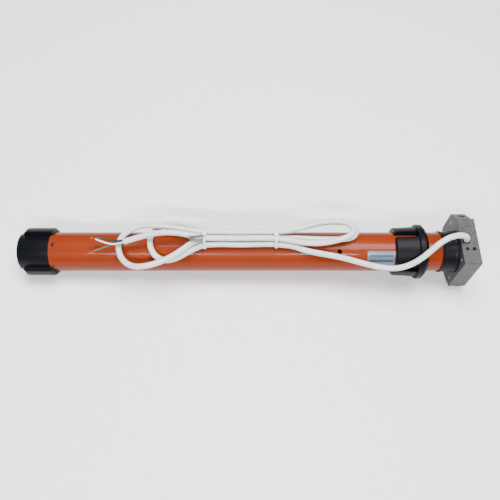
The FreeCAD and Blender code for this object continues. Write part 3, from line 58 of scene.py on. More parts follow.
CABLE_ROUTE = [
    (-0.0140, 0.0000, 0.0282), (-0.0140, 0.0000, 0.0330), (-0.0185, 0.0003, 0.0380),
    (-0.0270, -0.0007, 0.0410), (-0.0380, -0.0036, 0.0406), (-0.0480, -0.0092, 0.0378),
    (-0.0575, -0.0164, 0.0344), (-0.0665, -0.0228, 0.0298), (-0.0765, -0.0276, 0.0246),
    (-0.0875, -0.0300, 0.0194), (-0.0995, -0.0296, 0.0158), (-0.1125, -0.0268, 0.0142),
    (-0.1270, -0.0236, 0.0154), (-0.1420, -0.0202, 0.0179), (-0.1580, -0.0170, 0.0206),
    (-0.1760, -0.0144, 0.0224), (-0.1940, -0.0114, 0.0242), (-0.2100, -0.0064, 0.0268),
    (-0.2220, -0.0054, 0.0272), (-0.2340, -0.0044, 0.0276), (-0.2500, -0.0048, 0.0275),
    (-0.2680, -0.0052, 0.0274), (-0.2900, -0.0047, 0.0276), (-0.3090, -0.0054, 0.0277),
    (-0.3220, -0.0114, 0.0270), (-0.3330, -0.0182, 0.0262), (-0.3435, -0.0234, 0.0256),
    (-0.3535, -0.0240, 0.0254), (-0.3620, -0.0196, 0.0257), (-0.3679, -0.0118, 0.0263),
    (-0.3704, -0.0022, 0.0269), (-0.3696, 0.0074, 0.0267), (-0.3650, 0.0154, 0.0260),
    (-0.3570, 0.0208, 0.0254), (-0.3465, 0.0230, 0.0252), (-0.3345, 0.0216, 0.0256),
    (-0.3225, 0.0168, 0.0266), (-0.3100, 0.0118, 0.0276), (-0.2960, 0.0104, 0.0275),
    (-0.2800, 0.0109, 0.0270), (-0.2620, 0.0104, 0.0269), (-0.2440, 0.0110, 0.0274),
    (-0.2280, 0.0107, 0.0277), (-0.2130, 0.0124, 0.0274), (-0.1980, 0.0168, 0.0268),
    (-0.1800, 0.0224, 0.0265), (-0.1650, 0.0246, 0.0265), (-0.1520, 0.0244, 0.0264),
    (-0.1408, 0.0222, 0.0263), (-0.1352, 0.0130, 0.0265), (-0.1406, 0.0038, 0.0268),
    (-0.1520, 0.0016, 0.0271), (-0.1650, 0.0012, 0.0273), (-0.1790, 0.0014, 0.0275),
    (-0.1950, 0.0020, 0.0278), (-0.2110, 0.0026, 0.0279), (-0.2280, 0.0031, 0.0277),
    (-0.2460, 0.0033, 0.0277), (-0.2680, 0.0027, 0.0278), (-0.2900, 0.0031, 0.0278),
    (-0.3060, 0.0028, 0.0277), (-0.3145, 0.0002, 0.0283), (-0.3225, -0.0060, 0.0328),
    (-0.3310, -0.0142, 0.0338), (-0.3415, -0.0218, 0.0332), (-0.3510, -0.0268, 0.0322),
    (-0.3610, -0.0306, 0.0310), (-0.3720, -0.0338, 0.0310), (-0.3835, -0.0338, 0.0288),
    (-0.3935, -0.0292, 0.0274), (-0.4006, -0.0214, 0.0269), (-0.4044, -0.0118, 0.0269),
    (-0.4050, -0.0022, 0.0273), (-0.4020, 0.0050, 0.0275), (-0.3950, 0.0122, 0.0280),
    (-0.3850, 0.0166, 0.0296), (-0.3735, 0.0172, 0.0322), (-0.3610, 0.0154, 0.0338),
    (-0.3450, 0.0130, 0.0344), (-0.3270, 0.0092, 0.0346), (-0.3080, 0.0070, 0.0346),
    (-0.2900, 0.0073, 0.0345), (-0.2680, 0.0068, 0.0344), (-0.2460, 0.0074, 0.0344),
    (-0.2280, 0.0070, 0.0346), (-0.2140, 0.0084, 0.0346), (-0.1990, 0.0126, 0.0344),
    (-0.1830, 0.0182, 0.0343), (-0.1690, 0.0208, 0.0343), (-0.1570, 0.0210, 0.0344),
    (-0.1456, 0.0188, 0.0345), (-0.1400, 0.0096, 0.0348), (-0.1460, 0.0010, 0.0352),
    (-0.1580, -0.0024, 0.0334), (-0.1720, -0.0050, 0.0316), (-0.1890, -0.0056, 0.0309),
    (-0.2060, -0.0043, 0.0330), (-0.2170, -0.0022, 0.0344), (-0.2280, -0.0009, 0.0346),
    (-0.2460, -0.0005, 0.0347), (-0.2680, -0.0011, 0.0346), (-0.2900, -0.0007, 0.0347),
    (-0.3040, -0.0009, 0.0346), (-0.3140, 0.0005, 0.0364), (-0.3250, 0.0011, 0.0381),
    (-0.3380, 0.0028, 0.0402), (-0.3520, 0.0030, 0.0412), (-0.3670, 0.0014, 0.0402),
    (-0.3820, -0.0022, 0.0380), (-0.3970, -0.0058, 0.0356),
]
CORE_ROUTES = {
    "core_black": [
        (-0.3979, -0.0046, 0.0369), (-0.4046, -0.0054, 0.0362), (-0.4120, -0.0042, 0.0360),
        (-0.4210, -0.0024, 0.0364), (-0.4290, -0.0020, 0.0368),
    ],
    "core_white": [
        (-0.3972, -0.0072, 0.0369), (-0.4040, -0.0090, 0.0358), (-0.4120, -0.0090, 0.0358),
        (-0.4205, -0.0068, 0.0368), (-0.4280, -0.0042, 0.0384),
    ],
    "core_green": [
        (-0.3968, -0.0071, 0.0342), (-0.4040, -0.0078, 0.0332), (-0.4120, -0.0082, 0.0324),
        (-0.4210, -0.0116, 0.0318), (-0.4300, -0.0152, 0.0314),
    ],
    "core_blue": [
        (-0.3975, -0.0045, 0.0342), (-0.4035, -0.0046, 0.0334), (-0.4085, -0.0052, 0.0326),
    ],
}

# The bare copper at a core's end, how far its strands start inside the insulation, and which cores have it.
BARE_LENGTH = 0.0065
BARE_SUNK = 0.0008
BARE_CORES = ("core_black", "core_white", "core_green")

# Each tie, right and left: its place along the axis and the (back, up) centres of the outermost strands.
TIES = [
    (-0.228, [(-0.0049, 0.0274), (0.0109, 0.0276), (0.0072, 0.0346), (-0.0010, 0.0346)]),
    (-0.308, [(-0.0058, 0.0276), (0.0118, 0.0275), (0.0073, 0.0346), (-0.0003, 0.0353)]),
]
# The wire ends at the left tie: the line that two of them wind about, and where the other two run.
TWIST_LINE = [(-0.3075, -0.0012, 0.0412), (-0.3245, -0.0034, 0.0413)]
LOOSE_ENDS = [
    [
        (-0.3078, -0.0040, 0.0398), (-0.3125, -0.0062, 0.0396),
        (-0.3180, -0.0056, 0.0400), (-0.3235, -0.0026, 0.0406),
    ],
    [
        (-0.3078, -0.0040, 0.0398), (-0.3125, -0.0084, 0.0396),
        (-0.3180, -0.0078, 0.0400), (-0.3235, -0.0048, 0.0406),
    ],
]

# The screws: where their seats are, which way the heads point, and each kind's radius and height.
TUBE_SCREW_LINE = -0.4804
TUBE_SCREW_SEAT = 0.0225
TUBE_SCREW_TURNS = [math.radians(7 + 90 * quarter) for quarter in range(4)]
TUBE_SCREW_SIZE = (0.0021, 0.0011)
HEAD_SCREW_LINE = -0.0184
HEAD_SCREWS = [(-0.021, 0.020), (-0.021, -0.028), (0.030, -0.020), (0.035, 0.006)]
HEAD_SCREW_SIZE = (0.0028, 0.0016)

# The rubber sleeve in the head's slot: its middle, half its length and width, and its lower and upper level.
GROMMET_MIDDLE = (-0.014, 0.0)
GROMMET_HALF = (0.0037, 0.0039)
GROMMET_LEVELS = (0.0248, 0.0281)

# The camera stands this far from the axis, over this place along it, and looks at it from this far up.
CAMERA_PLACE = -0.251
CAMERA_DISTANCE = 0.655
CAMERA_RISE = math.radians(63)
CAMERA_LENS = 40.32
CAMERA_SHIFT = (-0.0114, 0.003)

# Each softbox: its place, the point that it faces, and its length and width.
SOFTBOXES = {
    "strip_softbox": ((-0.355, -0.87, 0.966), (-0.25, 0.0, 0.0), (0.92, 0.03)),
    "overhead_softbox": ((-0.10, 0.25, 1.5), (-0.22, 0.0, 0.0), (1.2, 0.7)),
}
WORLD_STRENGTH = 0.22

# The floor: how far it reaches each way and lies under the motor, and how far in from the wheel's end the
# lug stands on it.
FLOOR_REACH = 4.0
FLOOR_GAP = 0.0003
LUG_INSET = 0.02

# Points closer than these merge, and edges sharper than these stay crisp, on built pieces and CAD nodes.
BUILT_MERGE, BUILT_CREASE = 1e-7, math.radians(35)
NODE_MERGE, NODE_CREASE = 1e-6, math.radians(32)


# Settings


def length_setting(name, description, default, low, high):
    """A length in metres, shown in the scene's units."""
    return bpy.props.FloatProperty(
        name=name, description=description, default=default, min=low, max=high, unit="LENGTH"
    )


def power_setting(name, description, default):
    """A lamp's power in watts."""
    return bpy.props.FloatProperty(name=name, description=description, default=default, min=0, unit="POWER")


def colour_setting(name, description, default):
    """A linear colour without alpha."""
    return bpy.props.FloatVectorProperty(
        name=name, description=description, default=default, subtype="COLOR", size=3, min=0, max=1
    )


class CableSettings(bpy.types.PropertyGroup):
    diameter: length_setting(
        "Cable diameter", "Outside diameter of the cable's sheath", 0.0065, 0.004, 0.012
    )
    core_diameter: length_setting(
        "Core diameter", "Outside diameter of one insulated core", 0.0018, 0.001, 0.003
    )
    strand_diameter: length_setting(
        "Strand diameter",
        "Diameter of one bare copper strand, drawn thicker than real so that it shows",
        0.00038,
        0.0001,
        0.0006,
    )
    tie_width: length_setting("Tie width", "Width of the flat band of each cable tie", 0.0026, 0.0015, 0.005)
    sheath: colour_setting("Sheath colour", "Colour of the cable's outer sheath", (0.60, 0.62, 0.61))


class FinishSettings(bpy.types.PropertyGroup):
    enamel: colour_setting("Enamel colour", "Colour of the enamel on the steel tube", (0.180, 0.0235, 0.0055))
    plastic: colour_setting(
        "Plastic colour", "Colour of the moulded wheel, crown and collar", (0.0024, 0.0028, 0.0040)
    )
    casting: colour_setting("Casting colour", "Colour of the textured die-cast head", (0.060, 0.060, 0.061))


class StudioSettings(bpy.types.PropertyGroup):
    strip_power: power_setting("Strip light", "Power of the narrow softbox in front", 22.0)
    fill_power: power_setting("Fill light", "Power of the large softbox above", 60.0)
    floor: colour_setting("Floor colour", "Colour of the plain floor", (0.9, 0.9, 0.9))


# Meshes


def circle(count):
    """That many equal turns once round, in radians."""
    return np.linspace(0, 2 * np.pi, count, endpoint=False)


def squarer(values, power):
    """Sines or cosines made squarer: their sizes raised to a power below 1, with their signs kept."""
    return np.sign(values) * np.abs(values) ** power


def surface(name, grids, material):
    """One mesh from grids of points, each a pair of points and whether it closes along its rows.

    A grid is an array of rows by columns by xyz, its columns always run round and close, and its faces join
    each point with the next one along both. Ends that run to one point are merged there."""
    vertices, faces, start = [], [], 0
    for points, closed in grids:
        rows, columns = points.shape[:2]
        index = np.arange(rows * columns).reshape(rows, columns) + start
        here = index if closed else index[:-1]
        following = np.roll(index, -1, axis=0) if closed else index[1:]
        corners = [here, np.roll(here, -1, axis=1), np.roll(following, -1, axis=1), following]
        vertices.append(points.reshape(-1, 3))
        faces.append(np.stack(corners, axis=-1).reshape(-1, 4))
        start += rows * columns
    mesh = bpy.data.meshes.new(name)
    mesh.from_pydata(np.concatenate(vertices).tolist(), [], np.concatenate(faces).tolist())
    whole = bmesh.new()
    whole.from_mesh(mesh)
    bmesh.ops.remove_doubles(whole, verts=whole.verts, dist=BUILT_MERGE)
    bmesh.ops.recalc_face_normals(whole, faces=whole.faces)
    whole.to_mesh(mesh)
    whole.free()
    mesh.shade_smooth()
    mesh.set_sharp_from_angle(angle=BUILT_CREASE)
    mesh.materials.append(material)
    piece = bpy.data.objects.new(name, mesh)
    bpy.context.scene.collection.objects.link(piece)
    return piece


def frame_along(direction):
    """The unit vector along a direction, and two square to it and to each other."""
    along = np.asarray(direction) / np.linalg.norm(direction)
    helper = np.array([0.0, 0.0, 1.0]) if abs(along[2]) < 0.9 else np.array([0.0, 1.0, 0.0])
    side = np.cross(helper, along)
    side /= np.linalg.norm(side)
    return along, side, np.cross(along, side)


def turned(profile, origin, direction):
    """A surface of revolution: each (place along, radius) of the profile is turned round the direction."""
    along, side, up = frame_along(direction)
    angle = circle(48)
    round_it = np.cos(angle)[:, None] * side + np.sin(angle)[:, None] * up
    place, radius = np.asarray(profile).T
    return np.asarray(origin) + place[:, None, None] * along + radius[:, None, None] * round_it


def tube(name, routes, radius, material, steps, around):
    """Round tubes, each along one open NURBS spline of order 3 over its route's control points.

    The steps are those between two control points, and around sets how finely the circle is drawn."""
    curve = bpy.data.curves.new(name, "CURVE")
    curve.dimensions = "3D"
    curve.bevel_depth = radius
    curve.bevel_resolution = around
    curve.use_fill_caps = True
    for route in routes:
        spline = curve.splines.new("NURBS")
        spline.points.add(len(route) - 1)
        spline.points.foreach_set("co", np.column_stack([route, np.ones(len(route))]).ravel())
        spline.order_u = 3
        spline.use_endpoint_u = True
        spline.resolution_u = steps
        spline.use_smooth = True
    curve.materials.append(material)
    piece = bpy.data.objects.new(name, curve)
    bpy.context.scene.collection.objects.link(piece)
    return piece


def cross_head(radius, height, seat, direction, turn):
    """A pan screw head: a dome over the radius, less a cross of two arms with sloping walls.

    The dome falls with the square of the distance from the middle, and near its edge with the eighth power
    too. Each arm is a product of two ramps, one across and one along it, and the recess is the deeper of the
    two arms. Four more rings, at shares of the height and the radius, carry the edge down under the seat."""
    fall, edge_fall, depth = 0.32, 0.25, 0.55
    half_width, half_length, side_wall, end_wall = (share * radius for share in (0.16, 0.62, 0.07, 0.2))
    rim_level, rim_reach = np.array([(0.3, 1.0), (0.0, 0.97), (-0.3, 0.7), (-0.3, 0.0)]).T
    along, side, up = frame_along(direction)
    angle = circle(64) + turn
    share = np.linspace(0, 1, 22)
    dome = height * (1 - fall * share**2 - edge_fall * share**8)[:, None]

    def arm(across, along_it):
        wide = np.clip((half_width - np.abs(across)) / side_wall, 0, 1)
        long = np.clip((half_length - np.abs(along_it)) / end_wall, 0, 1)
        return wide * long

    first = share[:, None] * radius * np.cos(angle - turn)
    second = share[:, None] * radius * np.sin(angle - turn)
    top = dome - depth * height * np.maximum(arm(first, second), arm(second, first))
    levels = np.concatenate([top, np.repeat(rim_level[:, None] * height, angle.size, axis=1)])
    reach = np.concatenate([share, rim_reach])[:, None] * radius
    sideways, upwards = (reach * np.cos(angle))[..., None] * side, (reach * np.sin(angle))[..., None] * up
    return np.asarray(seat) + levels[..., None] * along + sideways + upwards


# Finishes

# A grain that is the same along all three axes, and the plain values that several finishes share.
EVEN = (1, 1, 1)
METAL = {"Metallic": 1.0}
NYLON = {"Specular IOR Level": 0.1}


def linear(code):
    """An sRGB hex colour as linear values with full alpha."""
    channels = np.array([int(code[i : i + 2], 16) for i in (0, 2, 4)]) / 255
    values = np.where(channels <= 0.04045, channels / 12.92, ((channels + 0.055) / 1.055) ** 2.4)
    return (*values.tolist(), 1.0)


def shade(colour, factor):
    """A colour made darker or lighter by a factor, with full alpha."""
    return (*[min(1.0, channel * factor) for channel in tuple(colour)[:3]], 1.0)


def per_metre(millimetres):
    """The scale of a texture whose pattern repeats after this many millimetres."""
    return 1000 / millimetres


def add(tree, kind, inputs=None, **settings):
    """Adds a node with its settings, and gives each input its value or its link."""
    node = tree.nodes.new(kind)
    for name, setting in settings.items():
        setattr(node, name, setting)
    for name, source in (inputs or {}).items():
        if isinstance(source, bpy.types.NodeSocket):
            tree.links.new(source, node.inputs[name])
        else:
            node.inputs[name].default_value = source
    return node


def noise(tree, where, size, **values):
    """A noise from 0 to 1 whose grains are this many millimetres across."""
    return add(tree, "ShaderNodeTexNoise", {"Vector": where, "Scale": per_metre(size), **values}).outputs[0]


def blend(tree, share, low, high):
    """A colour between two. This node's sockets for colours go by their places: 6 and 7 in, and 2 out."""
    return add(tree, "ShaderNodeMix", {0: share, 6: low, 7: high}, data_type="RGBA").outputs[2]


def spread(tree, share, low, high):
    """A value that runs from low to high as the share runs from 0 to 1."""
    return add(tree, "ShaderNodeMapRange", {"Value": share, "To Min": low, "To Max": high}).outputs[0]


def relief(tree, height, millimetres, strength):
    """A normal bent by a height that stands this many millimetres high at its highest."""
    values = {"Height": height, "Distance": millimetres / 1000, "Strength": strength}
    return add(tree, "ShaderNodeBump", values).outputs[0]


def within(tree, value, middle, reach):
    """1 where a value is no further than a reach from its middle, else 0."""
    return add(tree, "ShaderNodeMath", {0: value, 1: middle, 2: reach}, operation="COMPARE").outputs[0]


def both(tree, one, other):
    """1 where two values are both 1, else 0."""
    return add(tree, "ShaderNodeMath", {0: one, 1: other}, operation="MULTIPLY").outputs[0]


def round_axis(tree, where):
    """The place along the motor's axis, and the turn round it in radians from the top to the front."""
    parts = add(tree, "ShaderNodeSeparateXYZ", {"Vector": where}).outputs
    front = add(tree, "ShaderNodeMath", {0: parts["Y"], 1: -1.0}, operation="MULTIPLY").outputs[0]
    turn = add(tree, "ShaderNodeMath", {0: front, 1: parts["Z"]}, operation="ARCTAN2").outputs[0]
    return parts["X"], turn


def feed(tree, shader, sources):
    """Links each source to the shader's input of that name."""
    for name, source in sources.items():
        tree.links.new(source, shader.inputs[name])


def new_finish(name, values):
    """A material with one shader that holds the plain values: its tree, shader and object coordinates."""
    material = bpy.data.materials.new(name)
    material.use_nodes = True
    tree = material.node_tree
    tree.nodes.clear()
    shader = add(tree, "ShaderNodeBsdfPrincipled", values)
    add(tree, "ShaderNodeOutputMaterial", {"Surface": shader.outputs[0]})
    return tree, shader, add(tree, "ShaderNodeTexCoord").outputs["Object"]


def worked_finish(name, dark, light, rough, grain, height, stretch=EVEN, values=None):
    """A material whose colour, gloss and height wander together over a grain of a real size.

    The grain and the height are in millimetres. The grain is a noise over the object's coordinates,
    stretched the way the surface was worked. The noise keeps near its middle, so the tone takes only that
    part of its range."""
    tree, shader, where = new_finish(name, values or {})
    worked = add(tree, "ShaderNodeMapping", {"Vector": where, "Scale": stretch}).outputs[0]
    grains = noise(tree, worked, grain, Detail=5.0, Roughness=0.62)
    tone = add(tree, "ShaderNodeMapRange", {"Value": grains, "From Min": 0.32, "From Max": 0.68}).outputs[0]
    colour = blend(tree, tone, dark, light)
    sources = {
        "Base Color": colour,
        "Roughness": spread(tree, tone, *rough),
        "Normal": relief(tree, grains, millimetres=height, strength=1.0),
    }
    feed(tree, shader, sources)
    return tree, shader, where, colour


def orange_enamel_on_steel(colour):
    # Stoved enamel is glossy, with faint patches 45 mm across and an orange peel 2.2 mm across.
    values = {"Coat Weight": 0.24, "Coat Roughness": 0.03, "Coat IOR": 1.35, "Specular IOR Level": 0.07}
    tree, shader, where = new_finish("orange_enamel_on_steel", values)
    patches = noise(tree, where, size=45, Detail=3.0, Roughness=0.5)
    peel = noise(tree, where, size=2.2, Detail=2.0)
    sources = {
        "Base Color": blend(tree, patches, shade(colour, 0.93), shade(colour, 1.06)),
        "Roughness": spread(tree, patches, 0.30, 0.42),
        "Normal": relief(tree, peel, millimetres=0.03, strength=0.6),
    }
    feed(tree, shader, sources)


def black_nylon_crown(colour):
    # The same moulded nylon as the wheel, with a parting groove along one finger drawn as a painted shadow
    # line, and a small index mark.
    mark_turn = 0.159
    groove_half_width, finger_middle, finger_half = 0.016, -0.0795, 0.0115
    mark_half_width, ring_middle, mark_half_length = 0.045, -0.0640, 0.0013
    satin = shade(colour, 0.8), shade(colour, 1.5)
    tree, shader, where, body = worked_finish(
        "black_nylon_crown", *satin, rough=(0.36, 0.5), grain=1.1, height=0.012, values=NYLON
    )
    place, turn = round_axis(tree, where)
    on_line = within(tree, turn, mark_turn, groove_half_width)
    groove_shade_mask = both(tree, on_line, within(tree, place, finger_middle, finger_half))
    # Painted shade: the groove is only a near-black line in the colour, with no relief of its own.
    with_groove_shade = blend(tree, groove_shade_mask, body, shade(colour, 0.15))
    near_line = within(tree, turn, mark_turn, mark_half_width)
    mark = both(tree, near_line, within(tree, place, ring_middle, mark_half_length))
    feed(tree, shader, {"Base Color": blend(tree, mark, with_groove_shade, shade(colour, 3.0))})


def silver_foil_label():
    # Printed polyester foil: satin silver with a cool cast, brushed along the tube, and two blank bands.
    first_band, second_band = (0.69, 0.05), (0.97, 0.07)
    label_middle, band_half_length = -0.1087, 0.0135
    tree, shader, where = new_finish("silver_foil_label", {"Metallic": 0.55, "IOR": 1.5})
    place, turn = round_axis(tree, where)
    brushed = add(tree, "ShaderNodeMapping", {"Vector": where, "Scale": (0.12, 1.0, 1.0)}).outputs[0]
    grain = noise(tree, brushed, size=0.9, Detail=3.0)
    silver = blend(tree, grain, linear("566274"), linear("768396"))
    bands = {0: within(tree, turn, *first_band), 1: within(tree, turn, *second_band)}
    either = add(tree, "ShaderNodeMath", bands, operation="ADD").outputs[0]
    band = both(tree, either, within(tree, place, label_middle, band_half_length))
    sources = {
        "Base Color": blend(tree, band, silver, linear("414B5A")),
        "Roughness": spread(tree, grain, 0.28, 0.40),
    }
    feed(tree, shader, sources)


def striped_finish(name, dark, light, radian, rough, values):
    """A material of fine even bands across the axis, such as laminations or turns of wire.

    The bands are a sine over the place along the axis, of that many millimetres to a radian, so they repeat
    after 6.3 times as many. They tint the colour, the gloss and the relief. The node's own sine runs through
    20 radians in a metre at a scale of 1."""
    radians_at_one = 20
    tree, shader, where = new_finish(name, values)
    scale = per_metre(radian) / radians_at_one
    wave_values = {"Vector": where, "Scale": scale, "Distortion": 0.4, "Detail": 1.0}
    wave = add(tree, "ShaderNodeTexWave", wave_values, bands_direction="X").outputs[1]
    sources = {
        "Base Color": blend(tree, wave, dark, light),
        "Roughness": spread(tree, wave, *rough),
        "Normal": relief(tree, wave, millimetres=0.08, strength=0.8),
    }
    feed(tree, shader, sources)


# Metals and plastics that share one way of making: darker and lighter tone, roughness, grain and relief in
# millimetres, the way the surface was worked and the shader's plain values.
PLAIN_FINISHES = {
    # Bright zinc plating over pressed steel: pale, a little blue, softly mirrored.
    "zinc_plated_steel": ("7E8186", "B9BCC0", (0.22, 0.40), 1.8, 0.006, EVEN, METAL),
    # Blackened screws and adjusters: dark satin with lighter wear.
    "blackened_steel": ("1C1D20", "45474C", (0.30, 0.48), 0.9, 0.006, EVEN, METAL),
    # Turned and oiled steel: fine rings across the axis.
    "turned_steel": ("6F7276", "A9ACB0", (0.20, 0.34), 2.4, 0.008, (9, 1, 1), METAL),
    # Hobbed and hardened gears: darker, with an oil film.
    "hardened_gear_steel": ("3E4044", "6C6F74", (0.24, 0.38), 1.6, 0.010, EVEN, METAL),
    # Sintered bronze is matt and full of fine pores that hold oil.
    "sintered_bronze": ("6B4A26", "A5763F", (0.38, 0.55), 0.7, 0.020, EVEN, METAL),
    # Die-cast aluminium: pale, slightly mottled skin.
    "die_cast_aluminium": ("85888B", "B4B6B8", (0.34, 0.50), 1.9, 0.020, EVEN, METAL),
    # Drawn aluminium can of the capacitor, with its grain along the axis.
    "drawn_aluminium": ("A2A5A8", "CFD1D3", (0.22, 0.32), 3.0, 0.004, (0.2, 1, 1), METAL),
    # Natural acetal: milky, slightly waxy.
    "natural_acetal": ("CFCBBE", "E9E6DC", (0.32, 0.42), 1.4, 0.006, EVEN, {"Subsurface Weight": 0.05}),
    # White polyamide mouldings, faintly grey.
    "white_polyamide": ("C6C7C4", "E2E3E0", (0.38, 0.50), 1.2, 0.010, EVEN, {}),
    # Bonded brake lining: dark, coarse and dull.
    "brake_lining": ("1F1D1B", "55504A", (0.75, 0.92), 0.8, 0.060, EVEN, {}),
    # Bright contact springs and clips.
    "spring_steel": ("54575C", "8E9196", (0.20, 0.32), 1.6, 0.004, (5, 1, 1), METAL),
    # Moulded rubber of the grommet, and the dull cases of the switches: black with a faint bloom.
    "black_rubber": ("0E0F10", "202224", (0.62, 0.80), 1.0, 0.020, EVEN, {}),
    # Core insulation: plasticised PVC, softly glossy.
    "black_core_pvc": ("050506", "0E0F11", (0.34, 0.46), 1.6, 0.010, EVEN, {}),
    "white_core_pvc": ("D2D1CA", "ECEBE6", (0.34, 0.46), 1.6, 0.010, EVEN, {"Subsurface Weight": 0.05}),
    "green_core_pvc": ("0F4526", "1F6B3D", (0.34, 0.46), 1.6, 0.010, EVEN, {}),
    "blue_core_pvc": ("124A60", "23718C", (0.34, 0.46), 1.6, 0.010, EVEN, {}),
    # Bright stranded copper, a little tarnished.
    "bare_copper": ("6E3A20", "A8663F", (0.24, 0.40), 0.9, 0.006, EVEN, METAL),
    # Natural nylon ties: milky white with a soft shine.
    "natural_nylon_tie": ("D6D8D6", "F0F2F0", (0.28, 0.40), 1.4, 0.006, EVEN, {"Subsurface Weight": 0.08}),
    # The covered wire of the tie's twisted ends: grey green and dusty.
    "covered_tie_wire": ("3E463E", "6C756A", (0.45, 0.62), 0.9, 0.012, EVEN, {}),
    # The inner face of the head: the same casting with a smoother relief, its colour darkened as painted
    # shade where that face lies in shadow.
    "zinc_casting_painted_shade": ("303134", "46484B", (0.5, 0.66), 2.2, 0.030, EVEN, {"Metallic": 0.2}),
}

# Metals in even bands: darker and lighter tone, millimetres to a radian, roughness and plain values.
STRIPED_FINISHES = {
    # Stacks of 0.5 mm electrical sheet, drawn in bands of 6.3 mm so that they show.
    "stator_laminations": ("34373C", "6A6E75", 1.0, (0.35, 0.55), METAL),
    "rotor_laminations": ("4A4D52", "8A8D92", 1.0, (0.28, 0.42), METAL),
    # Coils of 0.4 mm enamelled wire, drawn in bands of 5 mm so that they show.
    "enamelled_copper_winding": ("5E2412", "B4562B", 0.8, (0.25, 0.4), {"Metallic": 0.8}),
}

# Which finish each core takes.
CORE_FINISHES = {
    "core_black": "black_core_pvc",
    "core_white": "white_core_pvc",
    "core_green": "green_core_pvc",
    "core_blue": "blue_core_pvc",
}

# Which finish each CAD node takes.
NODE_FINISHES = {
    "motor_tube": "orange_enamel_on_steel",
    "rating_label": "silver_foil_label",
    "drive_wheel": "black_glass_filled_nylon",
    "limit_crown": "black_nylon_crown",
    "head_collar": "black_glass_filled_nylon",
    "head_housing": "sand_textured_zinc_casting",
    # The head's inner face takes the casting darkened as painted shade.
    "head_cover": "zinc_casting_painted_shade",
    "limit_adjuster_near": "blackened_steel",
    "limit_adjuster_far": "blackened_steel",
    "limit_shafts": "spring_steel",
    "crown_clip": "spring_steel",
    "limit_frame": "white_polyamide",
    "limit_pinion": "natural_acetal",
    "microswitches": "black_rubber",
    "override_shaft": "turned_steel",
    "override_wheel": "sintered_bronze",
    "override_worm": "hardened_gear_steel",
    "motor_can": "turned_steel",
    "cartridge_plug": "white_polyamide",
    "front_shield": "die_cast_aluminium",
    "rear_shield": "die_cast_aluminium",
    "rotor_bushes": "sintered_bronze",
    "rotor_shaft": "turned_steel",
    "rotor_core": "rotor_laminations",
    "stator_core": "stator_laminations",
    "stator_windings": "enamelled_copper_winding",
    "brake_plate": "zinc_plated_steel",
    "brake_disc": "brake_lining",
    "brake_armature": "zinc_plated_steel",
    "brake_spring": "spring_steel",
    "brake_magnet": "enamelled_copper_winding",
    "capacitor": "drawn_aluminium",
    "capacitor_cradle": "white_polyamide",
    "ring_gear": "hardened_gear_steel",
    "carrier_1": "turned_steel",
    "carrier_2": "turned_steel",
    "output_shaft": "turned_steel",
    "output_bush": "sintered_bronze",
    "gearbox_end_cap": "die_cast_aluminium",
    "wheel_clip": "spring_steel",
}
for _planet in "abc":
    NODE_FINISHES[f"planet_one_{_planet}"] = "natural_acetal"
    NODE_FINISHES[f"planet_two_{_planet}"] = "hardened_gear_steel"
    NODE_FINISHES[f"planet_three_{_planet}"] = "hardened_gear_steel"


def need_finish(name):
    """The finish of that name, which the finishes operator makes first."""
    material = bpy.data.materials.get(name)
    if material is None:
        raise RuntimeError(f"run the finishes first: {name} isn't made")
    return material


# Operators


class MOTOR_OT_finishes(bpy.types.Operator):
    """Makes every finish and gives each CAD node its own"""

    bl_idname = "motor.finishes"
    bl_label = "Finishes"

    def execute(self, context):
        colours = context.scene.motor_finishes
        orange_enamel_on_steel(colours.enamel)
        black_nylon_crown(colours.plastic)
        silver_foil_label()
        # Glass-filled nylon from a spark-eroded mould: near black, satin, its texture drawn at 1 mm to show.
        satin = shade(colours.plastic, 0.8), shade(colours.plastic, 1.6)
        worked_finish(
            "black_glass_filled_nylon", *satin, rough=(0.34, 0.5), grain=1.1, height=0.014, values=NYLON
        )
        # Zinc casting under a sand-textured coat: mid grey, its grit drawn at 1.5 mm so that it shows.
        grit = shade(colours.casting, 0.5), shade(colours.casting, 1.55)
        coat = {"Metallic": 0.15, "Specular IOR Level": 0.2}
        worked_finish(
            "sand_textured_zinc_casting", *grit, rough=(0.42, 0.62), grain=1.5, height=0.16, values=coat
        )
        # Extruded PVC sheath: smooth and chalky white, faintly uneven along its length.
        sheath = context.scene.motor_cable.sheath
        chalk, depth = (shade(sheath, 0.9), shade(sheath, 1.04)), {"Subsurface Weight": 0.03}
        worked_finish("white_cable_pvc", *chalk, rough=(0.36, 0.5), grain=6.0, height=0.03, values=depth)
        for name, (dark, light, *rest) in PLAIN_FINISHES.items():
            worked_finish(name, linear(dark), linear(light), *rest)
        for name, (dark, light, *rest) in STRIPED_FINISHES.items():
            striped_finish(name, linear(dark), linear(light), *rest)
        for name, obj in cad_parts.items():
            if name in NODE_FINISHES:
                self.dress(obj, need_finish(NODE_FINISHES[name]))
        return {"FINISHED"}

    def dress(self, obj, finish):
        """Gives a CAD node its finish, and modifiers that weld its facets and split its sharp edges."""
        for slot in obj.material_slots:
            slot.material = finish
        weld = obj.modifiers.new("joined facets", "WELD")
        weld.merge_threshold = NODE_MERGE
        split = obj.modifiers.new("crisp edges", "EDGE_SPLIT")
        split.split_angle = NODE_CREASE


